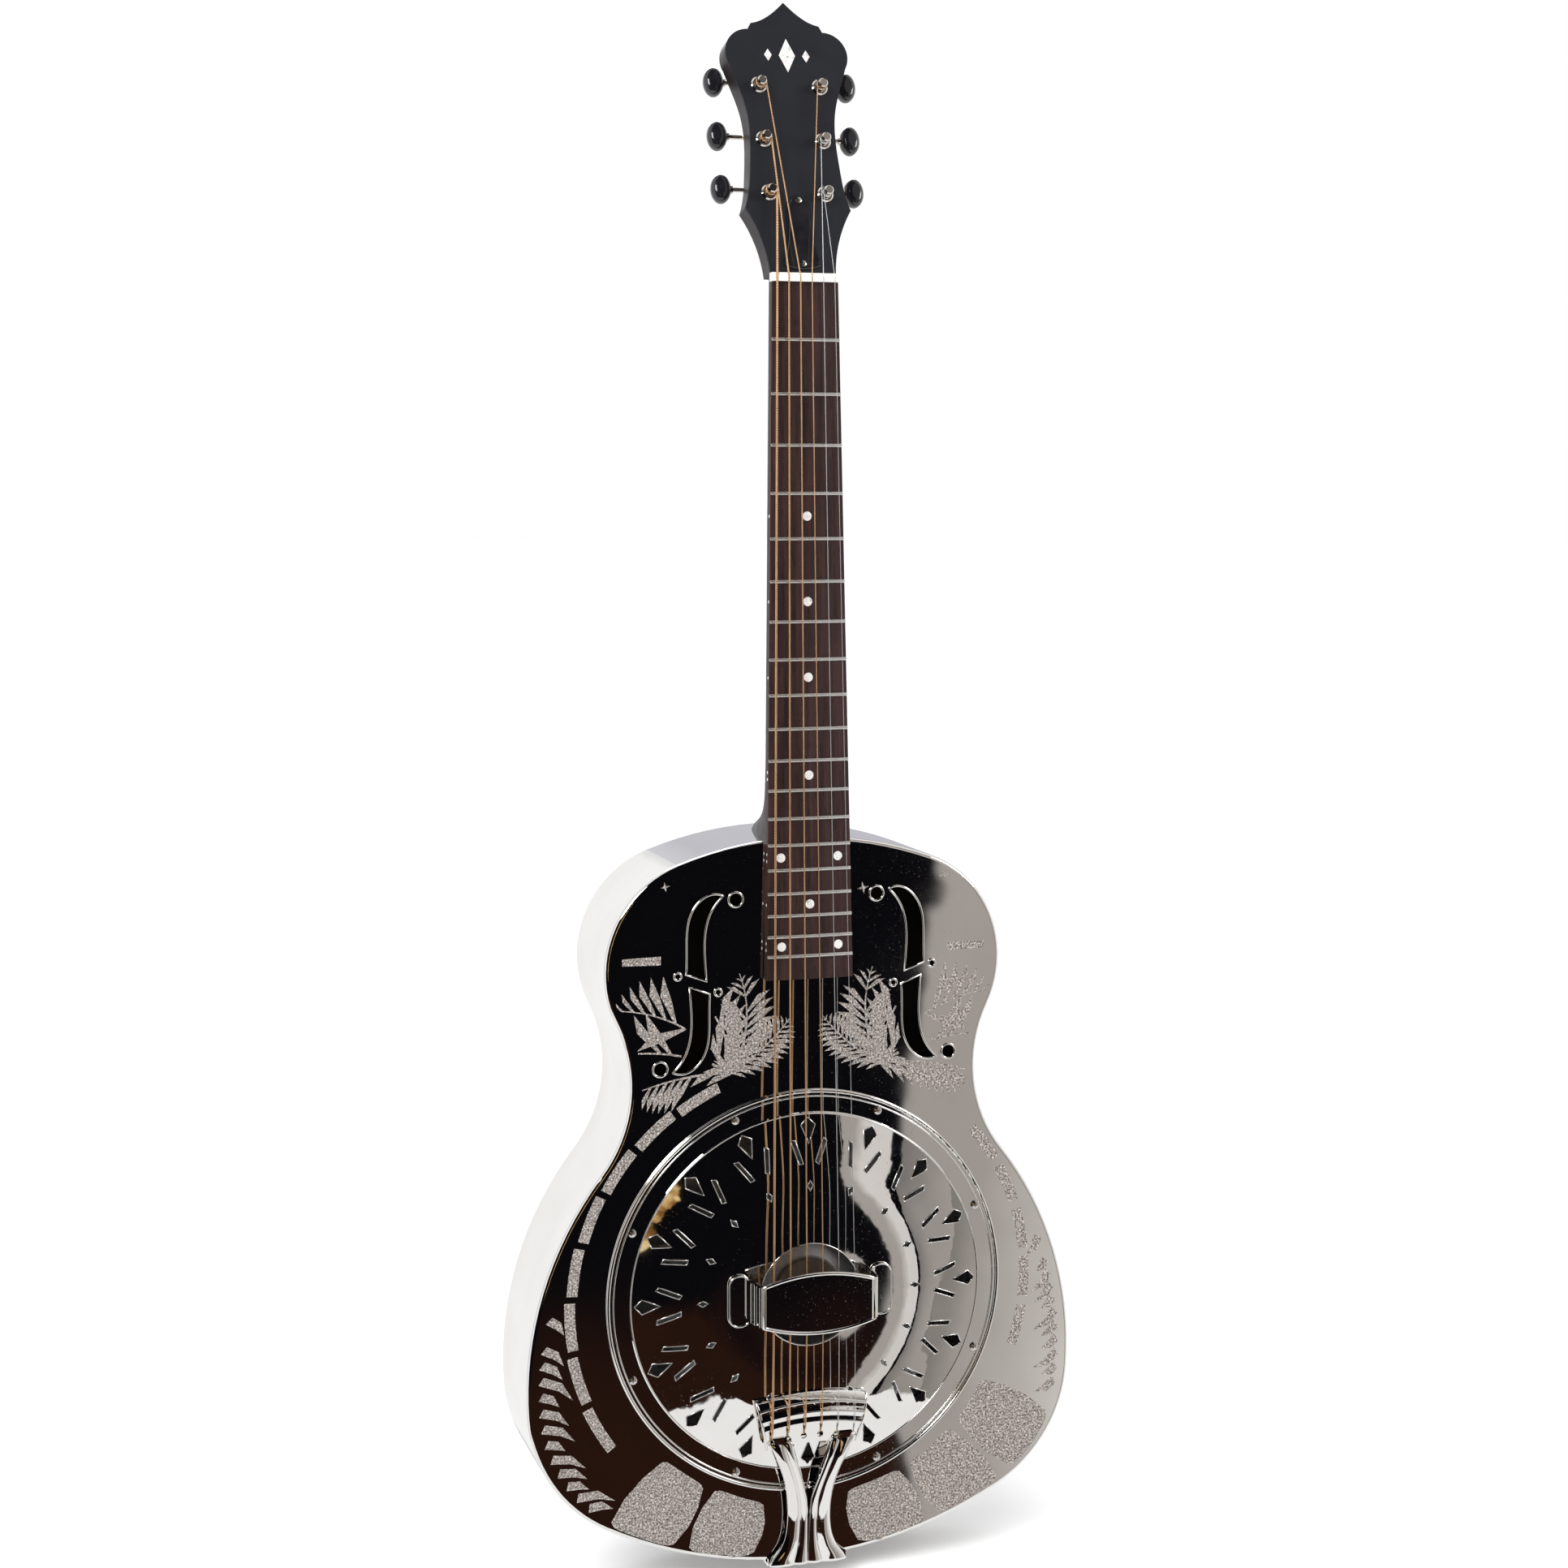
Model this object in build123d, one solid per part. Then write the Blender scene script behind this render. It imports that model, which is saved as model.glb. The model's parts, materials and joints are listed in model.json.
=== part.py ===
from build123d import *
import os
from math import asin, atan, cos, degrees, pi, radians, sin, sqrt

os.makedirs("parts", exist_ok=True)

# Six-string metal-bodied resonator guitar, standing upright, in millimetres.
# +Z runs up the neck, -Y is the front that faces the listener, +X is the treble side.
# The origin is where the strap button meets the tail end of the body.

# Driving dimensions
SCALE_LENGTH = 635.0
COMPENSATION = 5.0          # extra string length at the saddle
BODY_DEPTH = 82.0
SHEET = 1.0                 # brass sheet of the body
EDGE_RADIUS = 2.6           # rolled edge between the faces and the sides
SEAM_DEPTH = 4.0            # how far the pressed top and back turn down over the sides
RESONATOR_Z = 180.0         # height of the cone's centre
NUT_Z = 824.0
NUT_WIDTH = 43.2
BODY_JOINT_WIDTH = 54.6     # fingerboard width at the 14th fret
NECK_TILT = 1.56
HEAD_TILT = 12.5            # headstock pitch, measured from the neck
FRET_COUNT = 19
BODY_FRET = 14
CROWN_RADIUS = 400.0        # curve across the fingerboard, nut and saddle
BOARD_THICKNESS = 6.0
FRET_HEIGHT = 1.0
NECK_PLANE_DEPTH = 9.5      # fingerboard glue plane behind the body's face, at the nut
SADDLE_HEIGHT = 19.0        # string height above the body's face at the saddle
NUT_ACTION = 0.5            # string clearance over the fret plane at the nut
NUT_SPREAD = 37.6           # outer string to outer string
SADDLE_SPREAD = 54.4
TAIL_SPREAD = 56.0
STRING_DIAMETERS = (1.42, 1.14, 0.89, 0.66, 0.43, 0.33)

# The body's outline from the tail up the treble side: (radius, turn in degrees).
# A positive turn bulges outward, a negative one is the waist. A last arc closes it on the centre line.
OUTLINE_ARCS = ((281, 28.5), (95.5, 58), (224, 42), (91, -64.4), (72.4, 95.8))

# Coverplate, soundwell and cone. Heights here are above the body's face.
COVER_RADIUS = 133.0
COVER_OPENING = 33.5
COVER_SHEET = 1.0
COVER_HEIGHT = 8.8
COVER_SCREW_RING = 125.5
COVER_SCREW_COUNT = 8
CUTOUT_COUNT = 16
WELL_RADIUS = 120.5
WELL_DEPTH = 23.0
CONE_RADIUS = 119.6
CONE_SHEET = 0.5
BISCUIT_RADIUS = 22.0
BISCUIT_THICKNESS = 6.5
SADDLE_THICKNESS = 3.0
SADDLE_LENGTH = 60.0
SADDLE_SEAT = 3.5           # bottom of the saddle's slot in the biscuit

# Handrest and tailpiece
REST_HEIGHT = 28.5
REST_FOOT = 55.0            # half the span over the foot pads
REST_SHEET = 1.6
TAIL_SHEET = 1.6
TAIL_HALF_WIDTH = 26.5      # fixing plate
TAIL_GAP = 0.3              # between the fixing plate and the tail end
TAIL_BAR_Z = 101.0          # middle of the crossbar
TAIL_BEND_RADIUS = 160.0    # the crossbar's arch, seen from the front
TAIL_SLOT_Z = 88.0
TAIL_CREST_HEIGHT = 16.5
BALL_Z = 89.5
BALL_HEIGHT = 10.6

# Neck, stick and headstock
STICK_WIDTH = 32.0
STICK_FRONT = -13.0
STICK_BACK = 17.0
TOP_JOINT_Z = 472.0         # where the 14th fret meets the body
HEAD_THICKNESS = 13.0
OVERLAY_THICKNESS = 1.5
INLAY_THICKNESS = 0.6
COVER_PLATE_TOP = 50.5      # upper end of the truss rod cover
COVER_PLATE_THICKNESS = 1.6
NUT_LENGTH = 5.5
HEEL_LENGTH = 62.0          # from the body joint up to where the heel begins
HEEL_CAP_DEPTH = 66.0       # below the glue plane, like the depths that follow
# The heel's depth below the fingerboard's glue plane: (distance down the neck from its start, depth)
HEEL_DEPTHS = ((0, 17.2), (14, 18.2), (26, 21.5), (36, 28.5), (44, 42), (50, 62), (55, 78), (72, 86))
ROD_RADIUS = 2.5
ROD_Z = -7.4
ROD_POCKET = 4.6
POCKET_START = 13.4         # truss rod pocket, from the nut end of the fingerboard
ROD_NUT_START = 14.0
ROD_NUT_LENGTH = 10.4
DOT_DEPTH = 1.4
DOT_RADIUS = 2.9

# Tuners
POSTS = ((18.4, 51.6), (19.4, 86.3), (20.0, 121.8))   # across and along the headstock
POST_RADIUS = 3.0
POST_NECK_RADIUS = 2.4
POST_SEAT_RADIUS = 2.1      # where the gear sits
POST_TOP = 10.6
POST_HOLE_Z = 7.6
BUSHING_RADIUS = 3.9
PLATE_THICKNESS = 1.0
RUNNING_GAP = 0.05
GEAR_TEETH = 14
GEAR_MODULE = 0.77
GEAR_WIDTH = 3.6
GEAR_DROP = 2.2             # from the plate's back to the gear
WORM_PITCH_RADIUS = 3.0
WORM_LENGTH = 7.4
SHAFT_RADIUS = 1.5
EAR_GAP = 0.35
EAR_WIDTH = 1.5
BUTTON_X = 37.6             # inner end of every button, from the centre line
BUTTON_LENGTH = 12.8
BUTTON_SOCKET = 8.8         # how far the shaft reaches into its button

# Screws
SCREW_RADIUS = 1.4
BISCUIT_SCREW_RADIUS = 1.5
BUTTON_SCREW_RADIUS = 2.1
HEAD_SCREW_RADIUS = 1.0
HEAD_SCREW_LENGTH = 6.0
FINGERBOARD_SCREW_HEAD = 2.6

# Sizes that follow from the ones above
FACE = -BODY_DEPTH / 2
BACK = BODY_DEPTH / 2
SADDLE_Z = NUT_Z - SCALE_LENGTH - COMPENSATION
SADDLE_OFFSET = SADDLE_Z - RESONATOR_Z
BODY_EDGE_Y = TOP_JOINT_Z - NUT_Z   # neck-frame position of the body joint
HEEL_START = BODY_EDGE_Y + HEEL_LENGTH
BUTTON_SEAT = -TAIL_SHEET - TAIL_GAP
PLATE_BACK = -HEAD_THICKNESS - PLATE_THICKNESS
GEAR_FRONT = PLATE_BACK - GEAR_DROP
GEAR_PITCH_RADIUS = GEAR_TEETH * GEAR_MODULE / 2
WORM_OFFSET = GEAR_PITCH_RADIUS + WORM_PITCH_RADIUS
WORM_Z = GEAR_FRONT - GEAR_WIDTH / 2
WORM_PITCH = pi * GEAR_MODULE

# Frames: each has x across the guitar, y along the part and z out of its front.
RESONATOR = Plane(origin=(0, FACE, RESONATOR_Z), x_dir=(1, 0, 0), z_dir=(0, -1, 0))
TAIL_FRAME = Plane(origin=(0, FACE, 0), x_dir=(1, 0, 0), z_dir=(0, -1, 0))


def tilted_plane(origin, tilt):
    """A plane that leans back by tilt degrees, with its y axis going up the neck."""
    normal = (0, -cos(radians(tilt)), sin(radians(tilt)))
    return Plane(origin=origin, x_dir=(1, 0, 0), z_dir=normal)


NECK = tilted_plane((0, FACE + NECK_PLANE_DEPTH, NUT_Z), NECK_TILT)
HEAD = tilted_plane(NECK.from_local_coords((0, NUT_LENGTH, 0)), NECK_TILT + HEAD_TILT)


def save(name, shape):
    """Writes one sub-part to its own STEP file."""
    export_step(shape, f"parts/{name}.step")


def group(shapes):
    """Separate solids kept together in one sub-part."""
    return Compound(children=[solid for shape in shapes for solid in shape.solids()])


def both_sides(shape):
    """The shape and its mirror image across the guitar's centre plane."""
    return group([shape, mirror(shape, about=Plane.YZ)])


def revolved(points):
    """A solid of revolution about Z from a closed outline of (radius, height) points."""
    return revolve(Plane.XZ * make_face(Polyline(*points, close=True)), Axis.Z)


def cylinder(radius, bottom, top, x=0.0, y=0.0):
    """An upright cylinder between two heights."""
    align = (Align.CENTER, Align.CENTER, Align.MIN)
    return Pos(x, y, bottom) * Cylinder(radius, top - bottom, align=align)


def block(low, high):
    """A box between two corners."""
    size = [b - a for a, b in zip(low, high)]
    return Pos(*low) * Box(*size, align=(Align.MIN, Align.MIN, Align.MIN))


def fret_y(number):
    """Neck-frame position of a fret below the nut."""
    return -SCALE_LENGTH * (1 - 2 ** (-number / 12))


def half_width(y):
    """Half the fingerboard's width at a neck-frame position."""
    growth = (BODY_JOINT_WIDTH - NUT_WIDTH) / 2 / -fret_y(BODY_FRET)
    return NUT_WIDTH / 2 - growth * y


def string_x(index, spread):
    """Sideways position of a string, counted from the bass side."""
    return spread * (index / 5 - 0.5)


def crown_drop(x):
    """How far the crowned surface falls away at x from the centre line."""
    return CROWN_RADIUS - sqrt(CROWN_RADIUS ** 2 - x ** 2)


# ---------------------------------------------------------------- body

def body_outline(inset=0.0):
    """The body's outline as a face, pulled in by inset all the way round."""
    start = Vector(0, inset)
    heading = Vector(1, 0)
    arcs = []
    for radius, turn in OUTLINE_ARCS:
        reach = radius - inset if turn > 0 else radius + inset
        arc = JernArc(start, heading, reach, turn)
        arcs.append(arc)
        start = arc @ 1
        heading = arc % 1
    closing_radius = start.X / heading.Y
    closing_turn = 180 - degrees(atan(heading.Y / heading.X)) % 180
    arcs.append(JernArc(start, heading, closing_radius, closing_turn))
    top = arcs[-1] @ 1
    half = make_face([*arcs, Line(top, (0, inset))])
    return half + mirror(half, about=Plane.YZ)


def rounded_body(inset, edge_radius):
    """The body's outer form, or its hollow, with rolled front and back edges."""
    outline = Plane((0, BACK - inset, 0), x_dir=(1, 0, 0), z_dir=(0, -1, 0)) * body_outline(inset)
    solid = extrude(outline, BODY_DEPTH - 2 * inset)
    rims = [edge for edge in solid.edges() if abs(abs(edge.center().Y) - BACK + inset) < 0.01]
    return fillet(rims, edge_radius)


def f_hole_cutters(front, back):
    """Sound holes: two curved slots, each with a large and a small round hole."""
    centre = Location((71.9, 385.0))
    outer = Spline((-16.7, 55.8), (-6.5, 56.2), (3.2, 47.2), (7.2, 30.0), (7.8, 6.6))
    inner = Spline((-5.6, 1.6), (-4.3, 20.5), (-7.2, 42.5), (-16.7, 55.8))
    horn = make_face([outer, Line((7.8, 6.6), (-5.6, 1.6)), inner])
    large = Pos(-24.9, 53.1) * Circle(4.7)
    small = Pos(13.2, 5.7) * Circle(2.3)
    half = Sketch() + horn + large + small
    hole = centre * half + centre * Rot(0, 0, 180) * half
    hole = hole + mirror(hole, about=Plane.YZ)
    plane = Plane((0, back, 0), x_dir=(1, 0, 0), z_dir=(0, -1, 0))
    return extrude(plane * hole, back - front)


def make_body():
    """The pressed top and back and the side band between them."""
    shell = rounded_body(0, EDGE_RADIUS) - rounded_body(SHEET, EDGE_RADIUS - SHEET)
    far = 600
    front_zone = block((-far, FACE - 5, -far), (far, FACE + SEAM_DEPTH, far))
    back_zone = block((-far, BACK - SEAM_DEPTH, -far), (far, BACK + 5, far))
    top = shell & front_zone
    back = shell & back_zone
    sides = shell - front_zone - back_zone
    top -= RESONATOR * cylinder(WELL_RADIUS, -5, 5)
    top -= f_hole_cutters(FACE - 2, FACE + 2)
    for x, y in screw_spots():
        top -= NECK * cylinder(SCREW_RADIUS, -10, 10, x, y)
    for x, z in cover_screw_spots():
        top -= RESONATOR * cylinder(SCREW_RADIUS, -5, 5, x, z)
    sides -= neck_tenon_space()
    sides -= cylinder(BUTTON_SCREW_RADIUS, -5, 5)
    return top, back, sides


def neck_tenon_space():
    """The hole in the upper side band that the neck stick passes through."""
    width = STICK_WIDTH / 2
    return block((-width, STICK_FRONT, 400), (width, STICK_BACK, 500))


def make_soundwell():
    """The perforated ring that hangs from the top and carries the cone on its ledge."""
    outer = WELL_RADIUS + SHEET
    flange = WELL_RADIUS + 9
    ledge = WELL_RADIUS - 9.5
    ring = revolved([
        (WELL_RADIUS, -SHEET), (flange, -SHEET), (flange, -2 * SHEET), (outer, -2 * SHEET),
        (outer, -WELL_DEPTH - SHEET), (ledge, -WELL_DEPTH - SHEET), (ledge, -WELL_DEPTH),
        (WELL_RADIUS, -WELL_DEPTH),
    ])
    hole_height = -WELL_DEPTH / 2 - 0.5
    hole = Pos(0, 0, hole_height) * Rot(0, 90, 0) * cylinder(7.5, WELL_RADIUS - 5, WELL_RADIUS + 5)
    for index in range(CUTOUT_COUNT):
        ring -= Rot(0, 0, 360 / CUTOUT_COUNT * (index + 0.5)) * hole
    for x, z in cover_screw_spots():
        ring -= cylinder(SCREW_RADIUS, -5, 5, x, z)
    return RESONATOR * ring


def cover_screw_spots():
    """The eight screws of the coverplate, in the resonator frame."""
    turns = [radians(22.5 + 45 * index) for index in range(COVER_SCREW_COUNT)]
    return [(COVER_SCREW_RING * cos(t), COVER_SCREW_RING * sin(t)) for t in turns]


def sheet_profile(points, thickness):
    """The cross-section of a spun sheet whose upper surface follows a smooth curve."""
    top = Spline(*points)
    low = Spline(*[(r, height - thickness) for r, height in points])
    ends = [Line(points[0], low @ 0), Line(points[-1], low @ 1)]
    return make_face([top, low, *ends])


def make_coverplate():
    """The domed cover with its rolled rim, screw flange and pierced ornament."""
    crown = [(COVER_OPENING, COVER_HEIGHT), (56, COVER_HEIGHT - 0.1), (76, COVER_HEIGHT - 0.7),
             (91, COVER_HEIGHT - 2.6), (104, 4.3), (117, 2.2)]
    section = sheet_profile(crown, COVER_SHEET)
    flange_inner = 116.0
    bead = 1.2
    bead_centre = COVER_RADIUS - bead
    section += make_face(Polyline((flange_inner, 0), (bead_centre, 0), (bead_centre, COVER_SHEET),
                                  (118.5, COVER_SHEET), (117, 2.2), (flange_inner, 1.3), close=True))
    section += Pos(bead_centre, bead + 0.02) * Circle(bead)
    lip = 2.4
    section += make_face(Polyline((COVER_OPENING, COVER_HEIGHT), (COVER_OPENING, COVER_HEIGHT - lip),
                                  (COVER_OPENING + COVER_SHEET, COVER_HEIGHT - lip),
                                  (COVER_OPENING + COVER_SHEET, COVER_HEIGHT - 0.5), close=True))
    plate = revolve(Plane.XZ * section, Axis.Z)
    plate -= extrude(cover_ornament(), 20)
    for x, z in cover_screw_spots():
        plate -= cylinder(SCREW_RADIUS, -1, 5, x, z)
    return RESONATOR * plate


def cover_ornament():
    """Sixteen kites, each with two slanting bars and a small diamond nearer the centre."""
    kite = make_face(Polyline((115.2, 0), (110.4, 4.8), (98.6, 0), (110.4, -4.8), close=True))
    diamond = make_face(Polyline((75.2, 0), (71.7, 1.9), (68.2, 0), (71.7, -1.9), close=True))
    bar = make_face(Polyline((-8.4, -1.1), (7.4, -1.7), (8.8, 1.1), (-7.4, 1.7), close=True))
    bars = [Pos(93.2, 8.1 * side) * Rot(0, 0, 20 * side) * bar for side in (-1, 1)]
    motif = Sketch() + [kite, diamond, *bars]
    pattern = Sketch()
    for index in range(CUTOUT_COUNT):
        pattern += Rot(0, 0, 360 / CUTOUT_COUNT * index) * motif
    return pattern


def make_cone():
    """The spun aluminium cone, with its rim on the soundwell's ledge."""
    rim = -WELL_DEPTH + CONE_SHEET
    slope = [(110.5, rim), (104, rim + 1.4), (98, rim + 3.6), (80, rim + 8.2), (55, rim + 14.5),
             (32, rim + 20.2), (BISCUIT_RADIUS + 1.5, 0)]
    section = sheet_profile(slope, CONE_SHEET)
    section += make_face(Polyline((CONE_RADIUS, rim), (110.5, rim), (110.5, rim - CONE_SHEET),
                                  (CONE_RADIUS, rim - CONE_SHEET), close=True))
    section += make_face(Polyline((BISCUIT_RADIUS + 1.5, 0), (BISCUIT_SCREW_RADIUS, 0),
                                  (BISCUIT_SCREW_RADIUS, -CONE_SHEET),
                                  (BISCUIT_RADIUS + 1.5, -CONE_SHEET), close=True))
    return RESONATOR * revolve(Plane.XZ * section, Axis.Z)


def make_biscuit():
    """The maple disc on the cone, slotted for the saddle and drilled for its screw."""
    disc = cylinder(BISCUIT_RADIUS, 0, BISCUIT_THICKNESS)
    disc -= saddle_blank()
    disc -= cylinder(BISCUIT_SCREW_RADIUS, 0, SADDLE_SEAT - 0.5)
    return RESONATOR * disc


def saddle_blank():
    """The saddle before its string notches, crowned along its top."""
    half = SADDLE_THICKNESS / 2
    blank = block((-SADDLE_LENGTH / 2, SADDLE_OFFSET - half, SADDLE_SEAT),
                  (SADDLE_LENGTH / 2, SADDLE_OFFSET + half, SADDLE_HEIGHT))
    under = block((-SADDLE_LENGTH, SADDLE_OFFSET - 5, 0), (-BISCUIT_RADIUS + 1, SADDLE_OFFSET + 5, 8.5))
    blank -= under
    blank -= mirror(under, about=Plane.YZ)
    crown = Pos(0, 0, SADDLE_HEIGHT - CROWN_RADIUS) * Rot(90, 0, 0) * Cylinder(CROWN_RADIUS, 100)
    return blank & crown


def make_saddle():
    """The ebony-capped maple saddle with a notch for each string."""
    saddle = saddle_blank()
    for index, diameter in enumerate(STRING_DIAMETERS):
        x = string_x(index, SADDLE_SPREAD)
        radius = diameter / 2 + 0.1
        notch = Pos(x, SADDLE_OFFSET, SADDLE_HEIGHT - crown_drop(x)) * Rot(90, 0, 0)
        saddle -= notch * Cylinder(radius, 10)
    return RESONATOR * saddle


def make_biscuit_screw():
    """The screw that holds the biscuit to the cone from below."""
    screw = cylinder(3.2, -CONE_SHEET - 2, -CONE_SHEET)
    screw += cylinder(BISCUIT_SCREW_RADIUS, -CONE_SHEET, SADDLE_SEAT - 0.5)
    return RESONATOR * screw


def pan_head_screw(head_radius, shank_radius, shank_length):
    """A domed screw, with its head sitting on z = 0."""
    dome = 2.4 * head_radius
    head = cylinder(head_radius, 0, 3) & Pos(0, 0, 0.55 * head_radius - dome) * Sphere(dome)
    slot = block((-head_radius, -0.25, 0.3 * head_radius), (head_radius, 0.25, 5))
    cross = slot + Rot(0, 0, 90) * slot
    cross &= cylinder(0.65 * head_radius, 0, 5)
    return head + cylinder(shank_radius, -shank_length, 0) - cross


def make_cover_screws():
    """The eight screws around the coverplate's flange."""
    screw = pan_head_screw(2.6, SCREW_RADIUS, 6)
    return group([RESONATOR * Pos(x, z, COVER_SHEET) * Rot(0, 0, 20 * n) * screw
                  for n, (x, z) in enumerate(cover_screw_spots())])


# ---------------------------------------------------------------- handrest and tailpiece

def make_handrest():
    """The bowed plate over the saddle, on stepped legs with rounded foot pads."""
    t = REST_SHEET
    foot = COVER_HEIGHT + 0.05
    profile = Polyline((0, REST_HEIGHT), (35.5, REST_HEIGHT), (36, REST_HEIGHT + 0.9),
                       (37.6, REST_HEIGHT + 0.9), (38.2, REST_HEIGHT - 1.6), (40, REST_HEIGHT - 2.2),
                       (41.4, foot + t + 0.7), (43.4, foot + t), (REST_FOOT, foot + t),
                       (REST_FOOT, foot), (41.9, foot), (39.6, foot + 1.6),
                       (38.4, REST_HEIGHT - 3.8), (36.4, REST_HEIGHT - 3.0),
                       (36, REST_HEIGHT - t), (0, REST_HEIGHT - t), close=True)
    half = extrude(Plane.XZ * make_face(profile), 20, both=True)
    strap = half + mirror(half, about=Plane.YZ)
    end, corner, middle = 37.9, 13.3, 19.6
    bow = make_face([ThreePointArc((-end, corner), (0, middle), (end, corner)),
                     Line((end, corner), (end, -corner)),
                     ThreePointArc((end, -corner), (0, -middle), (-end, -corner)),
                     Line((-end, -corner), (-end, corner))])
    neck_part = Rectangle(84, 26.6)
    pad = RectangleRounded(14.5, 34, 6.5)
    pads = [Pos(side * (REST_FOOT - 7.25), 0) * pad for side in (-1, 1)]
    plan = extrude(Sketch() + [bow, neck_part, *pads], 40)
    return RESONATOR * (strap & plan)


def tail_crossbar():
    """The arched crossbar that holds the string ends, a curled strip bent about a far centre."""
    crest = TAIL_CREST_HEIGHT
    shape = [(TAIL_BEND_RADIUS + offset, height) for offset, height in
             ((-18.5, 11.0), (-13, 12.6), (-5.5, 14.6), (-3.2, 15.8), (0, 15.4), (3.2, crest),
              (6.5, 15.2), (9.6, 15.4), (12.6, 13.8), (15.2, 11.0))]
    section = sheet_profile(shape, TAIL_SHEET)
    half_span = degrees(asin(34 / TAIL_BEND_RADIUS))
    bar = revolve(Plane.XZ * section, Axis.Z, revolution_arc=2 * half_span)
    return Pos(0, TAIL_BAR_Z - TAIL_BEND_RADIUS, 0) * Rot(0, 0, 90 - half_span) * bar


def tail_leg_plan(shrink):
    """One leg of the tailpiece in plan, from the crossbar down to the fixing plate."""
    outer = Spline((30.5 - shrink, 88), (25.5 - shrink, 78), (17.6 - shrink, 58), (14.6 - shrink, 38),
                   (14.4 - shrink, 17 + shrink))
    inner = Spline((3.2 + shrink, 17 + shrink), (3.0 + shrink, 38), (5.0 + shrink, 58),
                   (11.5 + shrink, 78), (14.5 + shrink, 88))
    foot = ThreePointArc(outer @ 1, (8.8, 12.5 + 1.5 * shrink), inner @ 0)
    return make_face([outer, foot, inner, Line(inner @ 1, outer @ 0)])


def tail_side_profile(lift, thickness):
    """The tailpiece from the side, as an extruded band that dips from the crossbar to the body."""
    path = [(88, 12.6), (78, 11.9), (62, 9.0), (46, 5.8), (30, 3.8), (14, 3.0), (3, 2.6)]
    top = Spline(*[(y, height + lift) for y, height in path])
    low = Spline(*[(y, height + lift - thickness) for y, height in path])
    face = make_face([top, low, Line(top @ 0, low @ 0), Line(top @ 1, low @ 1)])
    return extrude(Plane.YZ * face, 60, both=True)


def make_tailpiece():
    """The cast tailpiece: crossbar, two ribbed legs and a fixing plate bent over the tail end."""
    legs = extrude(tail_leg_plan(0), 40) & tail_side_profile(0, TAIL_SHEET)
    ribs = extrude(tail_leg_plan(3.4), 40) & tail_side_profile(1.5, TAIL_SHEET + 0.2)
    leg = legs + ribs
    wide = TAIL_HALF_WIDTH
    flare = [ThreePointArc((13.6, 34), (15.6, 16), (wide, 3)), Line((wide, 3), (-wide, 3)),
             ThreePointArc((-wide, 3), (-15.6, 16), (-13.6, 34)), Line((-13.6, 34), (13.6, 34))]
    web = extrude(make_face(flare), 40) & tail_side_profile(-0.4, TAIL_SHEET)
    boss = cylinder(8.5, 1.4, 3.9, 0, 8.5)
    plate = leg + mirror(leg, about=Plane.YZ) + web + boss + tail_crossbar()
    plate = TAIL_FRAME * plate
    lip_back = 13.0
    outer_y = FACE - 2.6
    bend = block((-wide, outer_y, BUTTON_SEAT), (wide, FACE - 0.6, 3.2))
    tongue = block((-wide, outer_y, BUTTON_SEAT), (wide, lip_back, -TAIL_GAP))
    trim = make_face(Polyline((-wide, FACE - 5), (wide, FACE - 5), (wide, FACE + 8), (11, lip_back),
                              (-11, lip_back), (-wide, FACE + 8), close=True))
    wrap = (bend + tongue) & Pos(0, 0, -10) * extrude(trim, 20)
    plate += wrap
    plate -= cylinder(BUTTON_SCREW_RADIUS, -5, 1)
    for index, diameter in enumerate(STRING_DIAMETERS):
        plate -= string_slot(index, diameter)
    return plate


def string_slot(index, diameter):
    """The keyhole that a string's ball end passes through: a round hole and a narrow slot."""
    x = string_x(index, TAIL_SPREAD)
    sagitta = TAIL_BEND_RADIUS - sqrt(TAIL_BEND_RADIUS ** 2 - x ** 2)
    z = TAIL_SLOT_Z - sagitta
    hole = cylinder(2.1, 0, 25, x, z)
    slot = block((x - diameter / 2 - 0.2, z, 0), (x + diameter / 2 + 0.2, z + 7.5, 25))
    return TAIL_FRAME * (hole + slot)


def make_strap_button():
    """The turned button on the tail end, with a waist for the strap's hole."""
    seat = BUTTON_SEAT
    points = [(0, seat), (6.0, seat), (4.4, seat - 2), (3.9, seat - 5), (4.6, seat - 7.5),
              (7.4, seat - 8.6), (7.4, seat - 9.8), (6.2, seat - 11.2), (0, seat - 11.6)]
    button = revolved(points) - cylinder(BUTTON_SCREW_RADIUS, seat - 20, 0)
    return button - cylinder(3.7, seat - 20, seat - 9.8)


def make_strap_button_screw():
    """The long screw through the button and tailpiece into the end of the neck stick."""
    seat = BUTTON_SEAT
    screw = cylinder(3.5, seat - 11.2, seat - 9.8) + cylinder(BUTTON_SCREW_RADIUS, seat - 9.8, 32)
    return screw - block((-0.4, -3, seat - 11.3), (0.4, 3, seat - 10.4))


# ---------------------------------------------------------------- neck and headstock

def c_section(width, depth, y):
    """The neck's rounded cross-section at a neck-frame position."""
    plane = Plane(origin=(0, y, 0), x_dir=(1, 0, 0), z_dir=(0, -1, 0))
    half = Ellipse(width, depth) & Pos(0, -depth) * Rectangle(4 * width, 2 * depth)
    return plane * half


def neck_shaft():
    """The neck from the nut to where the heel begins."""
    top = c_section(half_width(NUT_LENGTH), 14.2, NUT_LENGTH)
    low = c_section(half_width(HEEL_START), HEEL_DEPTHS[0][1], HEEL_START)
    return loft([top, low])


def neck_heel():
    """The heel, which deepens the neck down to a flat cap and meets the body."""
    sections = [c_section(half_width(HEEL_START - along), depth, HEEL_START - along)
                for along, depth in HEEL_DEPTHS]
    end = HEEL_START - HEEL_DEPTHS[-1][0]
    return loft(sections) & block((-40, end - 5, -HEEL_CAP_DEPTH), (40, HEEL_START + 5, 5))


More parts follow.
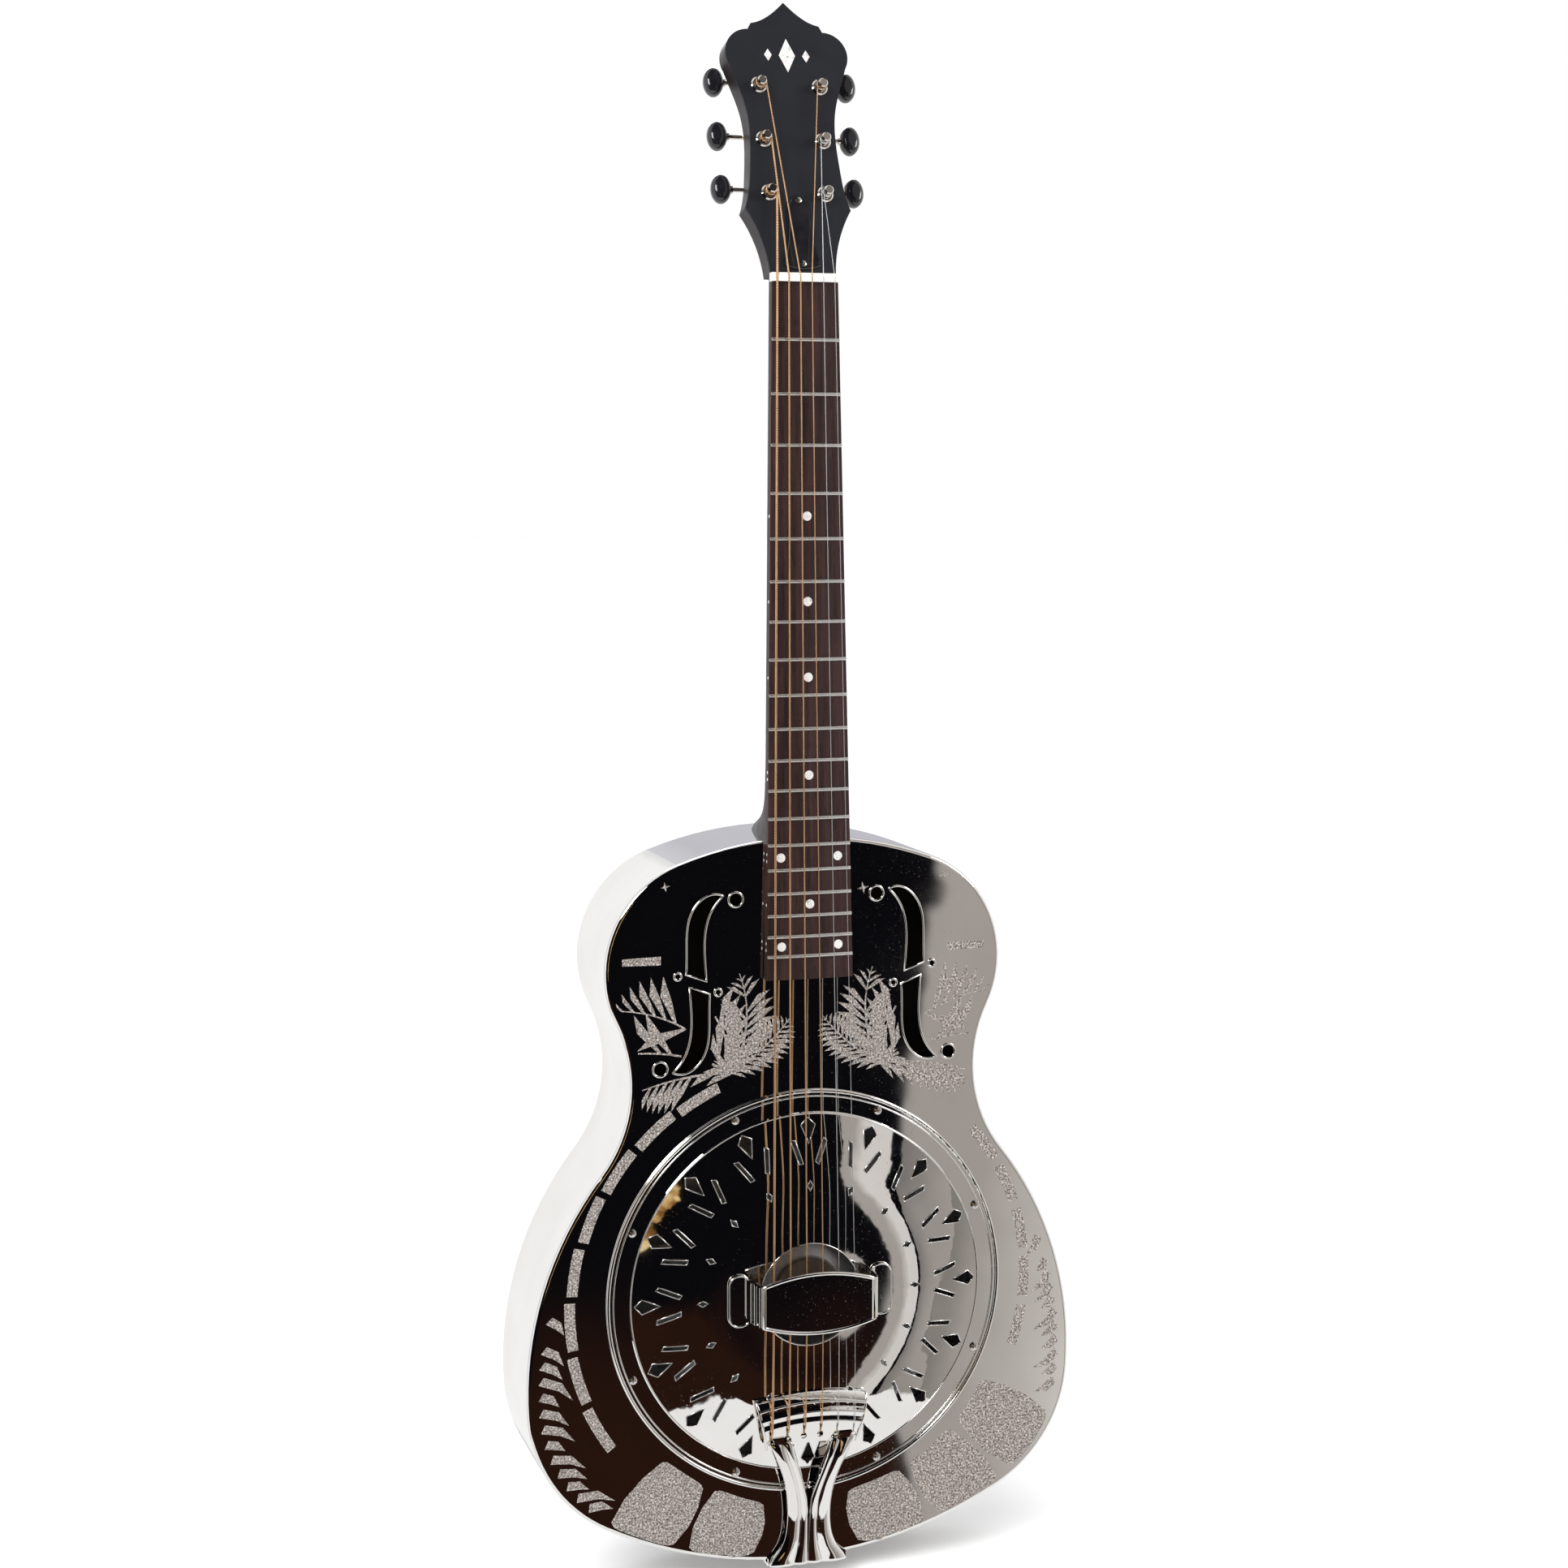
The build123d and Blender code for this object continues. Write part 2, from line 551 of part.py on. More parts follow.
def head_outline():
    """The headstock's outline: flared foot, waisted sides, round lobes and a peaked top."""
    foot = half_width(NUT_LENGTH)
    side = [
        ThreePointArc((foot, 0), (25.6, 22), (34.6, 41.5)),
        Spline((34.6, 41.5), (29.4, 68), (29.3, 106), (38.2, 135), tangents=((-0.42, 1), (0.30, 1))),
        ThreePointArc((38.2, 135), (37.6, 151.5), (24.6, 158.4)),
        Line((24.6, 158.4), (22.4, 162.4)),
        Spline((22.4, 162.4), (10.6, 167.6), (0, 177), tangents=((-1, 0.18), (-1, 1.05))),
    ]
    half = make_face([Line((0, 0), (foot, 0)), *side, Line((0, 177), (0, 0))])
    return half + mirror(half, about=Plane.YZ)


def post_spots():
    """Tuner positions in the headstock frame, bass side low to high, then treble high to low."""
    bass = [(-x, y) for x, y in POSTS]
    treble = [(x, y) for x, y in reversed(POSTS)]
    return bass + treble


def rod_channel():
    """The channel along the neck for the truss rod, opening into a pocket behind the nut."""
    end = BODY_EDGE_Y + 30
    gap = ROD_RADIUS + 0.3
    open_part = block((-gap, end, ROD_Z), (gap, NUT_LENGTH - 1, 0))
    return open_part + along_neck(gap, end, POCKET_START + 1)


def nut_pocket():
    """The pocket under the truss rod cover, in the neck frame."""
    return block((-ROD_POCKET, POCKET_START, ROD_Z - ROD_POCKET), (ROD_POCKET, 42, 20))


def make_neck():
    """The mahogany neck with its headstock, heel, rod channel and tuner holes."""
    neck = NECK * (neck_shaft() + neck_heel())
    head = extrude(head_outline(), -HEAD_THICKNESS)
    for x, y in post_spots():
        head -= cylinder(BUSHING_RADIUS, -50, 10, x, y)
    for x, y in plate_screw_spots():
        head -= cylinder(HEAD_SCREW_RADIUS, -HEAD_THICKNESS, HEAD_SCREW_LENGTH - HEAD_THICKNESS, x, y)
    for x, y in truss_cover_screw_spots():
        head -= cylinder(HEAD_SCREW_RADIUS, -HEAD_SCREW_LENGTH, 1, x, y)
    neck += HEAD * head
    neck -= NECK * rod_channel()
    neck -= NECK * nut_pocket()
    neck -= rounded_body(0, EDGE_RADIUS)
    over_face = block((-60, FACE - 20, 300), (60, FACE, NUT_Z + BODY_EDGE_Y + 4.5))
    return neck - over_face


def neck_stick_blank():
    """The stick that runs through the body from the heel's face to the tail end."""
    width = STICK_WIDTH / 2
    blank = block((-width, STICK_FRONT, SHEET + 1.2), (width, STICK_BACK, 600))
    return blank & rounded_body(0, EDGE_RADIUS)


def make_neck_stick():
    """The neck stick, bored at the tail for the strap button's screw."""
    return neck_stick_blank() - cylinder(BUTTON_SCREW_RADIUS, 0, 32)


def make_stick_blocks():
    """Wooden blocks that brace the stick against the back."""
    width = STICK_WIDTH / 2
    heights = (48, 232, 415)
    return group([block((-width, STICK_BACK, z), (width, BACK - SHEET, z + 34)) for z in heights])


def make_neck_block():
    """The block between the stick and the top, which the fingerboard's screws bite into."""
    front = FACE + SHEET
    blank = block((-26, front, 386), (26, STICK_FRONT, 464))
    for x, y in screw_spots():
        blank -= NECK * cylinder(SCREW_RADIUS, -40, 10, x, y)
    return blank


def make_headstock_overlay():
    """The thin black facing on the headstock."""
    facing = extrude(head_outline(), OVERLAY_THICKNESS)
    facing &= block((-60, 0, -1), (60, 200, 5))
    for x, y in post_spots():
        facing -= cylinder(BUSHING_RADIUS, -1, 5, x, y)
    for x, y in truss_cover_screw_spots():
        facing -= cylinder(HEAD_SCREW_RADIUS, -1, 5, x, y)
    facing -= inlay_plan(OVERLAY_THICKNESS - INLAY_THICKNESS, 5)
    facing = HEAD * facing
    return facing - NECK * nut_pocket()


def inlay_plan(bottom, top):
    """A plain inlay for the headstock: a long lozenge between two small ones."""
    long = make_face(Polyline((0, 153), (5.4, 142), (0, 131), (-5.4, 142), close=True))
    small = make_face(Polyline((12.5, 146), (15, 142), (12.5, 138), (10, 142), close=True))
    plan = Sketch() + [long, small, mirror(small, about=Plane.YZ)]
    return Pos(0, 0, bottom) * extrude(plan, top - bottom)


def make_headstock_inlay():
    """The pearl inlay, flush with the headstock's face."""
    return HEAD * group([inlay_plan(OVERLAY_THICKNESS - INLAY_THICKNESS, OVERLAY_THICKNESS)])


def truss_cover_screw_spots():
    """The truss rod cover's two screws in the headstock frame."""
    return [(0, 5.4), (0, COVER_PLATE_TOP - 4.0)]


def make_truss_rod_cover():
    """The bell-shaped plate over the truss rod's adjusting nut."""
    side = Spline((11.6, 4.5), (10.0, 12), (7.9, 22), (6.6, 38), tangents=((-0.1, 1), (-0.05, 1)))
    top = ThreePointArc((6.6, 38), (5.0, 46.5), (0, COVER_PLATE_TOP))
    foot = ThreePointArc((0, 2.2), (7, 2.9), (11.6, 4.5))
    half = make_face([foot, side, top, Line((0, COVER_PLATE_TOP), (0, 2.2))])
    plan = half + mirror(half, about=Plane.YZ)
    cover = Pos(0, 0, OVERLAY_THICKNESS) * extrude(plan, COVER_PLATE_THICKNESS)
    top_edges = cover.edges().group_by(Axis.Z)[-1]
    cover = chamfer(top_edges, 0.4)
    for x, y in truss_cover_screw_spots():
        cover -= cylinder(HEAD_SCREW_RADIUS, 0, 5, x, y)
    return HEAD * cover


def along_neck(radius, start, end):
    """A rod along the neck at the truss rod's depth, in the neck frame."""
    return Pos(0, end, ROD_Z) * Rot(90, 0, 0) * cylinder(radius, 0, end - start)


def make_truss_rod():
    """The steel rod in the neck's channel, threaded through to the adjusting nut."""
    return NECK * along_neck(ROD_RADIUS, BODY_EDGE_Y + 31, ROD_NUT_START + 5)


def make_truss_rod_nut():
    """The round adjusting nut with a hexagonal socket."""
    end = ROD_NUT_START + ROD_NUT_LENGTH
    body = along_neck(4.0, ROD_NUT_START, end)
    bore = along_neck(ROD_RADIUS + RUNNING_GAP, ROD_NUT_START, ROD_NUT_START + 5.5)
    socket = Pos(0, end, ROD_Z) * Rot(90, 0, 0) * extrude(RegularPolygon(2.6, 6), 4)
    return NECK * (body - bore - socket)


# ---------------------------------------------------------------- fingerboard

def board_blank():
    """The tapered, crowned fingerboard before its slots and dots are cut."""
    end = fret_y(FRET_COUNT) - 15.0
    plan = make_face(Polyline((-half_width(0), 0), (half_width(0), 0), (half_width(end), end),
                              (-half_width(end), end), close=True))
    crown = Pos(0, end / 2, BOARD_THICKNESS - CROWN_RADIUS) * Rot(90, 0, 0) * Cylinder(CROWN_RADIUS, 900)
    return extrude(plan, BOARD_THICKNESS + 2) & crown


def single_dots():
    """Centre dots: fret number and distance from the centre line."""
    return [(fret, 0.0) for fret in (5, 7, 9, 12, 17)]


def paired_dots():
    """Outer dots, each of which hides a fixing screw."""
    return [(fret, side * 18.9) for fret in (15, 19) for side in (-1, 1)]


def fret_space_middle(fret):
    """The middle of the space in front of a fret."""
    return (fret_y(fret) + fret_y(fret - 1)) / 2


def screw_spots():
    """The four fixing screws under the paired dots, in the neck frame."""
    return [(x, fret_space_middle(fret)) for fret, x in paired_dots()]


def dot_cylinders():
    """Cylinders that cut the dots' pockets, deeper than the board's crown."""
    spots = single_dots() + paired_dots()
    return [cylinder(DOT_RADIUS, BOARD_THICKNESS - DOT_DEPTH - crown_drop(x), BOARD_THICKNESS + 3, x,
                     fret_space_middle(fret)) for fret, x in spots]


def side_dot_cylinders():
    """Short pegs in the bass edge of the fingerboard, doubled at frets 12, 15 and 19."""
    pegs = []
    for fret in (5, 7, 9, 12, 15, 17, 19):
        middle = fret_space_middle(fret)
        shifts = (-2.2, 2.2) if fret in (12, 15, 19) else (0,)
        for shift in shifts:
            y = middle + shift
            edge = -half_width(y)
            pegs.append(Pos(edge + 1, y, BOARD_THICKNESS / 2 - 0.2) * Rot(0, 90, 0) * Cylinder(1.0, 4))
    return pegs


def make_position_dots():
    """The pearl dots, shaped to the board's crown."""
    blank = board_blank()
    return NECK * group([blank & peg for peg in dot_cylinders()])


def make_side_dots():
    """The small side markers, trimmed flush with the board's edge."""
    blank = board_blank()
    return NECK * group([blank & peg for peg in side_dot_cylinders()])


def fret_wires(slot):
    """All the frets, or the slots that their tangs sit in."""
    tang = 0.26 if slot else 0.25
    depth = 2.1 if slot else 1.9
    radius = CROWN_RADIUS
    wires = []
    for number in range(1, FRET_COUNT + 1):
        y = fret_y(number)
        section = make_face(Polyline((radius - depth, -tang), (radius, -tang), (radius, tang),
                                     (radius - depth, tang), close=True))
        if not slot:
            crown = ThreePointArc((radius, -1.15), (radius + FRET_HEIGHT, 0), (radius, 1.15))
            section += make_face([crown, Line((radius, 1.15), (radius, -1.15))])
        wire = revolve(Plane.XZ * section, Axis.Z, revolution_arc=10)
        wire = Rot(0, 0, 85) * wire
        wire = Pos(0, y, BOARD_THICKNESS - radius) * Rot(90, 0, 0) * wire
        reach = half_width(y) - (0.0 if slot else 0.15)
        wires.append(wire & block((-reach, y - 3, -2), (reach, y + 3, 12)))
    return wires


def make_fingerboard():
    """The rosewood fingerboard with fret slots, dot pockets and screw holes."""
    board = board_blank()
    for slot in fret_wires(slot=True):
        board -= slot
    for peg in dot_cylinders() + side_dot_cylinders():
        board -= peg
    for x, y in screw_spots():
        board -= cylinder(SCREW_RADIUS, -5, 10, x, y)
        board -= cylinder(FINGERBOARD_SCREW_HEAD, 2.2, 10, x, y)
    return NECK * board


def make_frets():
    """Nineteen nickel-silver frets, curved to the board."""
    return NECK * group(fret_wires(slot=False))


def make_board_shim():
    """The tapered wedge that carries the fingerboard over the body's top."""
    end = fret_y(FRET_COUNT) - 14.5
    wedge = NECK * block((-half_width(end) + 0.8, end, -4), (half_width(end) - 0.8, BODY_EDGE_Y - 4, 0))
    over_body = block((-60, FACE - 20, 300), (60, FACE, 600))
    wedge &= over_body
    for x, y in screw_spots():
        wedge -= NECK * cylinder(SCREW_RADIUS, -10, 10, x, y)
    return wedge


def make_fingerboard_screws():
    """The four countersunk-style screws under the paired dots."""
    screw = cylinder(FINGERBOARD_SCREW_HEAD, 2.2, 4.0) + cylinder(SCREW_RADIUS, -22, 2.2)
    return group([NECK * Pos(x, y) * screw for x, y in screw_spots()])


def make_nut():
    """The bone nut with its crowned top and six string grooves."""
    top = BOARD_THICKNESS + FRET_HEIGHT + NUT_ACTION + 0.9
    half = half_width(0) - 0.1
    nut = block((-half, 0.02, 0), (half, NUT_LENGTH, top))
    nut &= Pos(0, 0, top - CROWN_RADIUS) * Rot(90, 0, 0) * Cylinder(CROWN_RADIUS, 60)
    back_slope = Pos(0, NUT_LENGTH + 0.6, top) * Rot(-28, 0, 0) * Box(60, 4, 5)
    nut -= back_slope
    for index, diameter in enumerate(STRING_DIAMETERS):
        x, height = nut_point(index)
        radius = diameter / 2 + 0.06
        groove = Pos(x, 0, height) * Rot(90, 0, 0) * Cylinder(radius, 20)
        groove += block((x - radius, -10, height), (x + radius, 10, height + 5))
        drop = Pos(x, 3.2, height) * Rot(-HEAD_TILT - 4, 0, 0)
        groove += drop * block((-radius, 0, -radius), (radius, 10, 5))
        nut -= groove
    return NECK * nut


# ---------------------------------------------------------------- tuners

def plate_screw_spots():
    """The plates' four screws on each side, between and beyond the tuners."""
    spots = []
    for (x0, y0), (x1, y1) in zip(POSTS, POSTS[1:]):
        spots.append(((x0 + x1) / 2 - 1.0, (y0 + y1) / 2 - 1.5))
    first = (POSTS[0][0] - 1.2, POSTS[0][1] - 9.5)
    last = (POSTS[-1][0] - 0.2, POSTS[-1][1] + 17.0)
    spots += [first, last]
    return spots + [(-x, y) for x, y in spots]


def plate_for_one_side():
    """The treble side's long plate, with its bearing ears, in the headstock frame."""
    low = POSTS[0]
    high = POSTS[-1]
    lean = degrees(atan((high[0] - low[0]) / (high[1] - low[1])))
    middle = Pos((low[0] + high[0]) / 2 - 0.4, (low[1] + high[1]) / 2 + 3.6)
    strip = middle * Rot(0, 0, -lean) * RectangleRounded(15.5, 103, 6)
    plate = Pos(0, 0, PLATE_BACK) * extrude(strip, PLATE_THICKNESS)
    for x, y in POSTS:
        reach = WORM_LENGTH / 2 + EAR_GAP
        for start in (-reach - EAR_WIDTH, reach):
            low_corner = (x + start, y + WORM_OFFSET - 2.8, WORM_Z - 2.6)
            high_corner = (x + start + EAR_WIDTH, y + WORM_OFFSET + 2.8, PLATE_BACK)
            plate += block(low_corner, high_corner)
        bore = Pos(x, y + WORM_OFFSET, WORM_Z) * Rot(0, 90, 0)
        plate -= bore * Cylinder(SHAFT_RADIUS + RUNNING_GAP, 20)
        plate -= cylinder(POST_RADIUS + RUNNING_GAP, -50, 0, x, y)
    for x, y in plate_screw_spots():
        if x > 0:
            plate -= cylinder(HEAD_SCREW_RADIUS, -50, 0, x, y)
    return plate


def make_tuner_plates():
    """The two long plates that carry three open-geared tuners each."""
    return HEAD * both_sides(plate_for_one_side())


def make_headstock_screws():
    """Ten identical small screws: eight in the tuner plates and two in the truss rod cover."""
    screw = pan_head_screw(1.9, HEAD_SCREW_RADIUS, HEAD_SCREW_LENGTH)
    back = [HEAD * Pos(x, y, PLATE_BACK) * Rot(180, 0, 0) * screw for x, y in plate_screw_spots()]
    cover_top = OVERLAY_THICKNESS + COVER_PLATE_THICKNESS
    front = [HEAD * Pos(x, y, cover_top) * screw for x, y in truss_cover_screw_spots()]
    return group(back + front)


def make_tuner_bushings():
    """The six flanged bushings that guide the posts through the headstock's face."""
    base = OVERLAY_THICKNESS
    bore = POST_RADIUS + RUNNING_GAP
    bushing = revolved([(bore, base - 9), (BUSHING_RADIUS, base - 9), (BUSHING_RADIUS, base), (5.2, base),
                        (5.2, base + 0.7), (4.3, base + 1.4), (3.9, base + 2.6), (bore, base + 2.6)])
    return group([HEAD * Pos(x, y) * bushing for x, y in post_spots()])


def tuner_post():
    """One string post: shaft, waist for the winding, domed cap and the seat for its gear."""
    gear_back = GEAR_FRONT - GEAR_WIDTH
    points = [(0, gear_back), (POST_SEAT_RADIUS, gear_back), (POST_SEAT_RADIUS, GEAR_FRONT),
              (POST_RADIUS, GEAR_FRONT), (POST_RADIUS, 5.2), (POST_NECK_RADIUS, 5.9),
              (POST_NECK_RADIUS, 8.7), (POST_RADIUS, 9.3), (POST_RADIUS, 10.0),
              (POST_RADIUS - 0.7, POST_TOP), (0, POST_TOP)]
    post = revolved(points)
    return post - Pos(0, 0, POST_HOLE_Z) * Rot(0, 90, 0) * Cylinder(0.85, 10)


def tuner_gear():
    """The open gear on the post's inner end, with teeth twisted to the worm's lead."""
    tip = GEAR_PITCH_RADIUS + 0.61
    root = GEAR_PITCH_RADIUS - 0.85
    foot = root - 0.2
    outline = Sketch() + Circle(root)
    tooth = make_face(Polyline((foot, -0.85), (tip, -0.28), (tip, 0.28), (foot, 0.85), close=True))
    for index in range(GEAR_TEETH):
        outline += Rot(0, 0, 90 + 360 / GEAR_TEETH * index) * tooth
    lead = WORM_PITCH / (2 * pi * WORM_PITCH_RADIUS)
    twist = degrees(GEAR_WIDTH * lead / GEAR_PITCH_RADIUS)
    gear = Solid.extrude_linear_with_rotation(outline.face(), (0, 0, 0), (0, 0, GEAR_WIDTH), twist)
    gear = Pos(0, 0, GEAR_FRONT - GEAR_WIDTH) * Rot(0, 0, -twist / 2) * gear
    return gear - cylinder(POST_SEAT_RADIUS, -50, 0)


def tuner_worm():
    """The worm and its shaft, turning about the headstock frame's x axis through the origin."""
    turns = 5
    helix = Helix(pitch=WORM_PITCH, height=turns * WORM_PITCH, radius=2.1)
    root, tip = 2.0, 3.65
    thread_face = make_face(Polyline((root, -0.8), (tip, -0.27), (tip, 0.27), (root, 0.8), close=True))
    section = Plane.XZ * thread_face
    thread = sweep(section, path=helix, is_frenet=True)
    thread = Pos(0, 0, (WORM_LENGTH - turns * WORM_PITCH) / 2) * thread
    worm = cylinder(2.15, 0, WORM_LENGTH) + (thread & cylinder(4, 0, WORM_LENGTH))
    mesh_turn = 270
    return Rot(0, 90, 0) * Rot(0, 0, mesh_turn) * Pos(0, 0, -WORM_LENGTH / 2) * worm


def tuner_shaft(post_x):
    """The worm with a shaft that reaches from its inner bearing to inside the button."""
    inner = -WORM_LENGTH / 2 - EAR_GAP - EAR_WIDTH - 0.8
    outer = BUTTON_X - post_x + BUTTON_SOCKET
    shaft = Rot(0, 90, 0) * cylinder(SHAFT_RADIUS, inner, outer)
    collar_start = BUTTON_X - post_x - 1.2
    collar = Rot(0, 90, 0) * cylinder(2.6, collar_start, collar_start + 1.2)
    return tuner_worm() + shaft + collar


def tuner_button(post_x):
    """One oval button, pressed on the end of its shaft."""
    centre = BUTTON_X - post_x + BUTTON_LENGTH / 2
    knob = extrude(Ellipse(BUTTON_LENGTH / 2, 9.2), 5.2, both=True)
    knob = fillet(knob.edges(), 4.4)
    knob = Pos(centre, 0, 0) * knob
    knob = knob & block((BUTTON_X - post_x, -20, -20), (60, 20, 20))
    return knob - Rot(0, 90, 0) * cylinder(SHAFT_RADIUS, 0, BUTTON_X - post_x + BUTTON_SOCKET)


def save_tuners():
    """Writes the four moving pieces of each of the six tuners."""
    post = tuner_post()
    gear = tuner_gear()
    for number, (x, y) in enumerate(post_spots(), start=1):
        axis_spot = Pos(abs(x), y + WORM_OFFSET, WORM_Z)
        pieces = {
            "post": Pos(abs(x), y) * post,
            "gear": Pos(abs(x), y) * gear,
            "worm": axis_spot * tuner_shaft(abs(x)),
            "button": axis_spot * tuner_button(abs(x)),
        }
        for piece, shape in pieces.items():
            if x < 0:
                shape = mirror(shape, about=Plane.YZ)
            save(f"tuner_{piece}_{number}", HEAD * shape)


# ---------------------------------------------------------------- strings

def nut_point(index):
    """Where a string crosses the nut, in the neck frame: across and above the glue plane."""
    x = string_x(index, NUT_SPREAD)
    bottom = BOARD_THICKNESS + FRET_HEIGHT + NUT_ACTION - crown_drop(x)
    return x, bottom + STRING_DIAMETERS[index] / 2


def string_route(index):
    """Corner points of a string from its ball end to its post."""
    radius = STRING_DIAMETERS[index] / 2
    tail_x = string_x(index, TAIL_SPREAD)
    sagitta = TAIL_BEND_RADIUS - sqrt(TAIL_BEND_RADIUS ** 2 - tail_x ** 2)
    saddle_x = string_x(index, SADDLE_SPREAD)
    crest_z = TAIL_BAR_Z + 3.2 - sagitta
    clearance = radius + 0.25
    start = TAIL_FRAME.from_local_coords((tail_x, BALL_Z - sagitta, BALL_HEIGHT))
    over_slot = TAIL_FRAME.from_local_coords((tail_x, TAIL_SLOT_Z + 6.5 - sagitta, 15.9 + clearance))
    crest = TAIL_FRAME.from_local_coords((tail_x, crest_z, TAIL_CREST_HEIGHT + clearance + 0.1))
    saddle_top = SADDLE_HEIGHT - crown_drop(saddle_x)
    saddle = TAIL_FRAME.from_local_coords((saddle_x, SADDLE_Z, saddle_top + 0.05))
    nut_x, nut_height = nut_point(index)
    nut = NECK.from_local_coords((nut_x, 3.2, nut_height))
    post_x, post_y = post_spots()[index]
    side = 1 if post_x < 0 else -1
    tangent_x = post_x + side * (POST_NECK_RADIUS + radius + 0.35)
    end = HEAD.from_local_coords((tangent_x, post_y, POST_HOLE_Z - 0.2))
    return [start, over_slot, crest, saddle, nut, end]


def make_string(index):
    """One string as a round wire with small bends where it passes over metal, bone and wood."""
    route = string_route(index)
    path = FilletPolyline(*route, radius=[3.0, 4.0, 12.0, 8.0])
    start_plane = Plane(origin=route[0], z_dir=route[1] - route[0])
    section = start_plane * Circle(STRING_DIAMETERS[index] / 2)
    return sweep(section, path=path)


def make_ball_ends():
    """The brass ball ends held behind the tailpiece."""
    balls = []
    for index in range(6):
        start = string_route(index)[0]
        balls.append(Pos(start.X, start.Y + 2.25, start.Z) * Rot(0, 90, 0) * Cylinder(1.9, 3.4))
    return group(balls)


def main():
    body_top, body_back, body_sides = make_body()
    pieces = {
        "body_top": body_top,
        "body_back": body_back,
        "body_sides": body_sides,
        "soundwell": make_soundwell(),
        "resonator_cone": make_cone(),
        "bridge_biscuit": make_biscuit(),
        "saddle": make_saddle(),
        "biscuit_screw": make_biscuit_screw(),
        "coverplate": make_coverplate(),
        "coverplate_screws": make_cover_screws(),
        "handrest": make_handrest(),
        "tailpiece": make_tailpiece(),
        "strap_button": make_strap_button(),
        "strap_button_screw": make_strap_button_screw(),
        "neck": make_neck(),
        "neck_stick": make_neck_stick(),
        "stick_blocks": make_stick_blocks(),
        "neck_block": make_neck_block(),
        "headstock_overlay": make_headstock_overlay(),
        "headstock_inlay": make_headstock_inlay(),
        "truss_rod_cover": make_truss_rod_cover(),
        "truss_rod": make_truss_rod(),
        "truss_rod_nut": make_truss_rod_nut(),
        "fingerboard": make_fingerboard(),
        "frets": make_frets(),
        "position_dots": make_position_dots(),
        "side_dots": make_side_dots(),
        "board_shim": make_board_shim(),
        "fingerboard_screws": make_fingerboard_screws(),
        "nut": make_nut(),
        "tuner_plates": make_tuner_plates(),
        "headstock_screws": make_headstock_screws(),
        "tuner_bushings": make_tuner_bushings(),
        "string_ball_ends": make_ball_ends(),
        "wound_strings": group([make_string(index) for index in range(4)]),
        "plain_strings": group([make_string(index) for index in (4, 5)]),
    }
    for name, shape in pieces.items():
        save(name, shape)
    save_tuners()


main()
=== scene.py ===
import json
import math
from bisect import bisect_left

import bmesh
import bpy
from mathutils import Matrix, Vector
from mathutils.kdtree import KDTree


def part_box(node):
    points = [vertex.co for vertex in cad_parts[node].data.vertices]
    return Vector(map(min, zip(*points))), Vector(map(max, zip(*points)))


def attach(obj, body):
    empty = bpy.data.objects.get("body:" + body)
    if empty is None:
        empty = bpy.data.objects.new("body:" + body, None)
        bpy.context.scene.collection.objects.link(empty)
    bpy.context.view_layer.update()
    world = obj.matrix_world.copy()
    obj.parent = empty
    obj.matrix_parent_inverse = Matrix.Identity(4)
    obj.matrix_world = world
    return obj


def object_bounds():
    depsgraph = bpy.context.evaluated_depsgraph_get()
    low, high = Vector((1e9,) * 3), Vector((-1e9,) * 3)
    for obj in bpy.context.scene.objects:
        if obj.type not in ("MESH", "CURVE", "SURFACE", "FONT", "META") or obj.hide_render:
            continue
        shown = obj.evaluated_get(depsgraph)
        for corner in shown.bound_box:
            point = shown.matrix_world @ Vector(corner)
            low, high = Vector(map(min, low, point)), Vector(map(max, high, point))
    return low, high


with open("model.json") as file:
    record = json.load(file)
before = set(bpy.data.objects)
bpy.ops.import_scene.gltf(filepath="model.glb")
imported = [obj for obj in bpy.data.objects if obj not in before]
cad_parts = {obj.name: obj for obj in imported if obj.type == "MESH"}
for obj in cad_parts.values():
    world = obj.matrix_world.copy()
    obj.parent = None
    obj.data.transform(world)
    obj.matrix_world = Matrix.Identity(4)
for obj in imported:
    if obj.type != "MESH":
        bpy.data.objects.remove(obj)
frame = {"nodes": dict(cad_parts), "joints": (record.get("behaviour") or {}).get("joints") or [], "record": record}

cad_low, cad_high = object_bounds()
MM = 0.001

# Places that come from the frame
body_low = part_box("body_top")[0]
cover_low, cover_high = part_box("coverplate")
board_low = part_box("fingerboard")[0]
FACE_Y = body_low.y
COVER_CENTRE = (cover_low + cover_high) / 2
COVER_RADIUS = (cover_high.x - cover_low.x) / 2
JOINTS = {joint["name"]: joint for joint in frame["joints"]}
STRING_DIAMETERS = (1.42, 1.14, 0.89, 0.66, 0.43, 0.33)
HANDREST_PLATE = (37.2, 13.0, 19.2)     # half length, half width at the ends and in the middle, in mm
HANDREST_FOOT = (6.9, 16.6, 6.2)        # half width, half length and corner radius, in mm
TAIL_BAR = (101.0, 160.0, 34.0)         # the crossbar's middle height, bend radius and half span, in mm

# Distances in metres
BEYOND_COVER = 0.14                     # a hole of the top whose edge stays this far out is a sound hole
CUTOUT_BAND = (0.06, 0.12)              # the cut-outs' edges lie between these radii
BOARD_CLEAR = (0.031, 0.004)            # kept free beside and below the fingerboard
TAIL_CLEAR = (0.029, 0.020)             # kept free under the tailpiece: half width and height
EDGE_MARGIN = 0.0045                    # from the side of the face to the ornament
END_MARGIN = 0.005                      # from the two ends of the face to the ornament
HOLE_CLEARANCE = 1.6 * MM               # from a sound hole to the ornament


# ---------------------------------------------------------------- node helpers

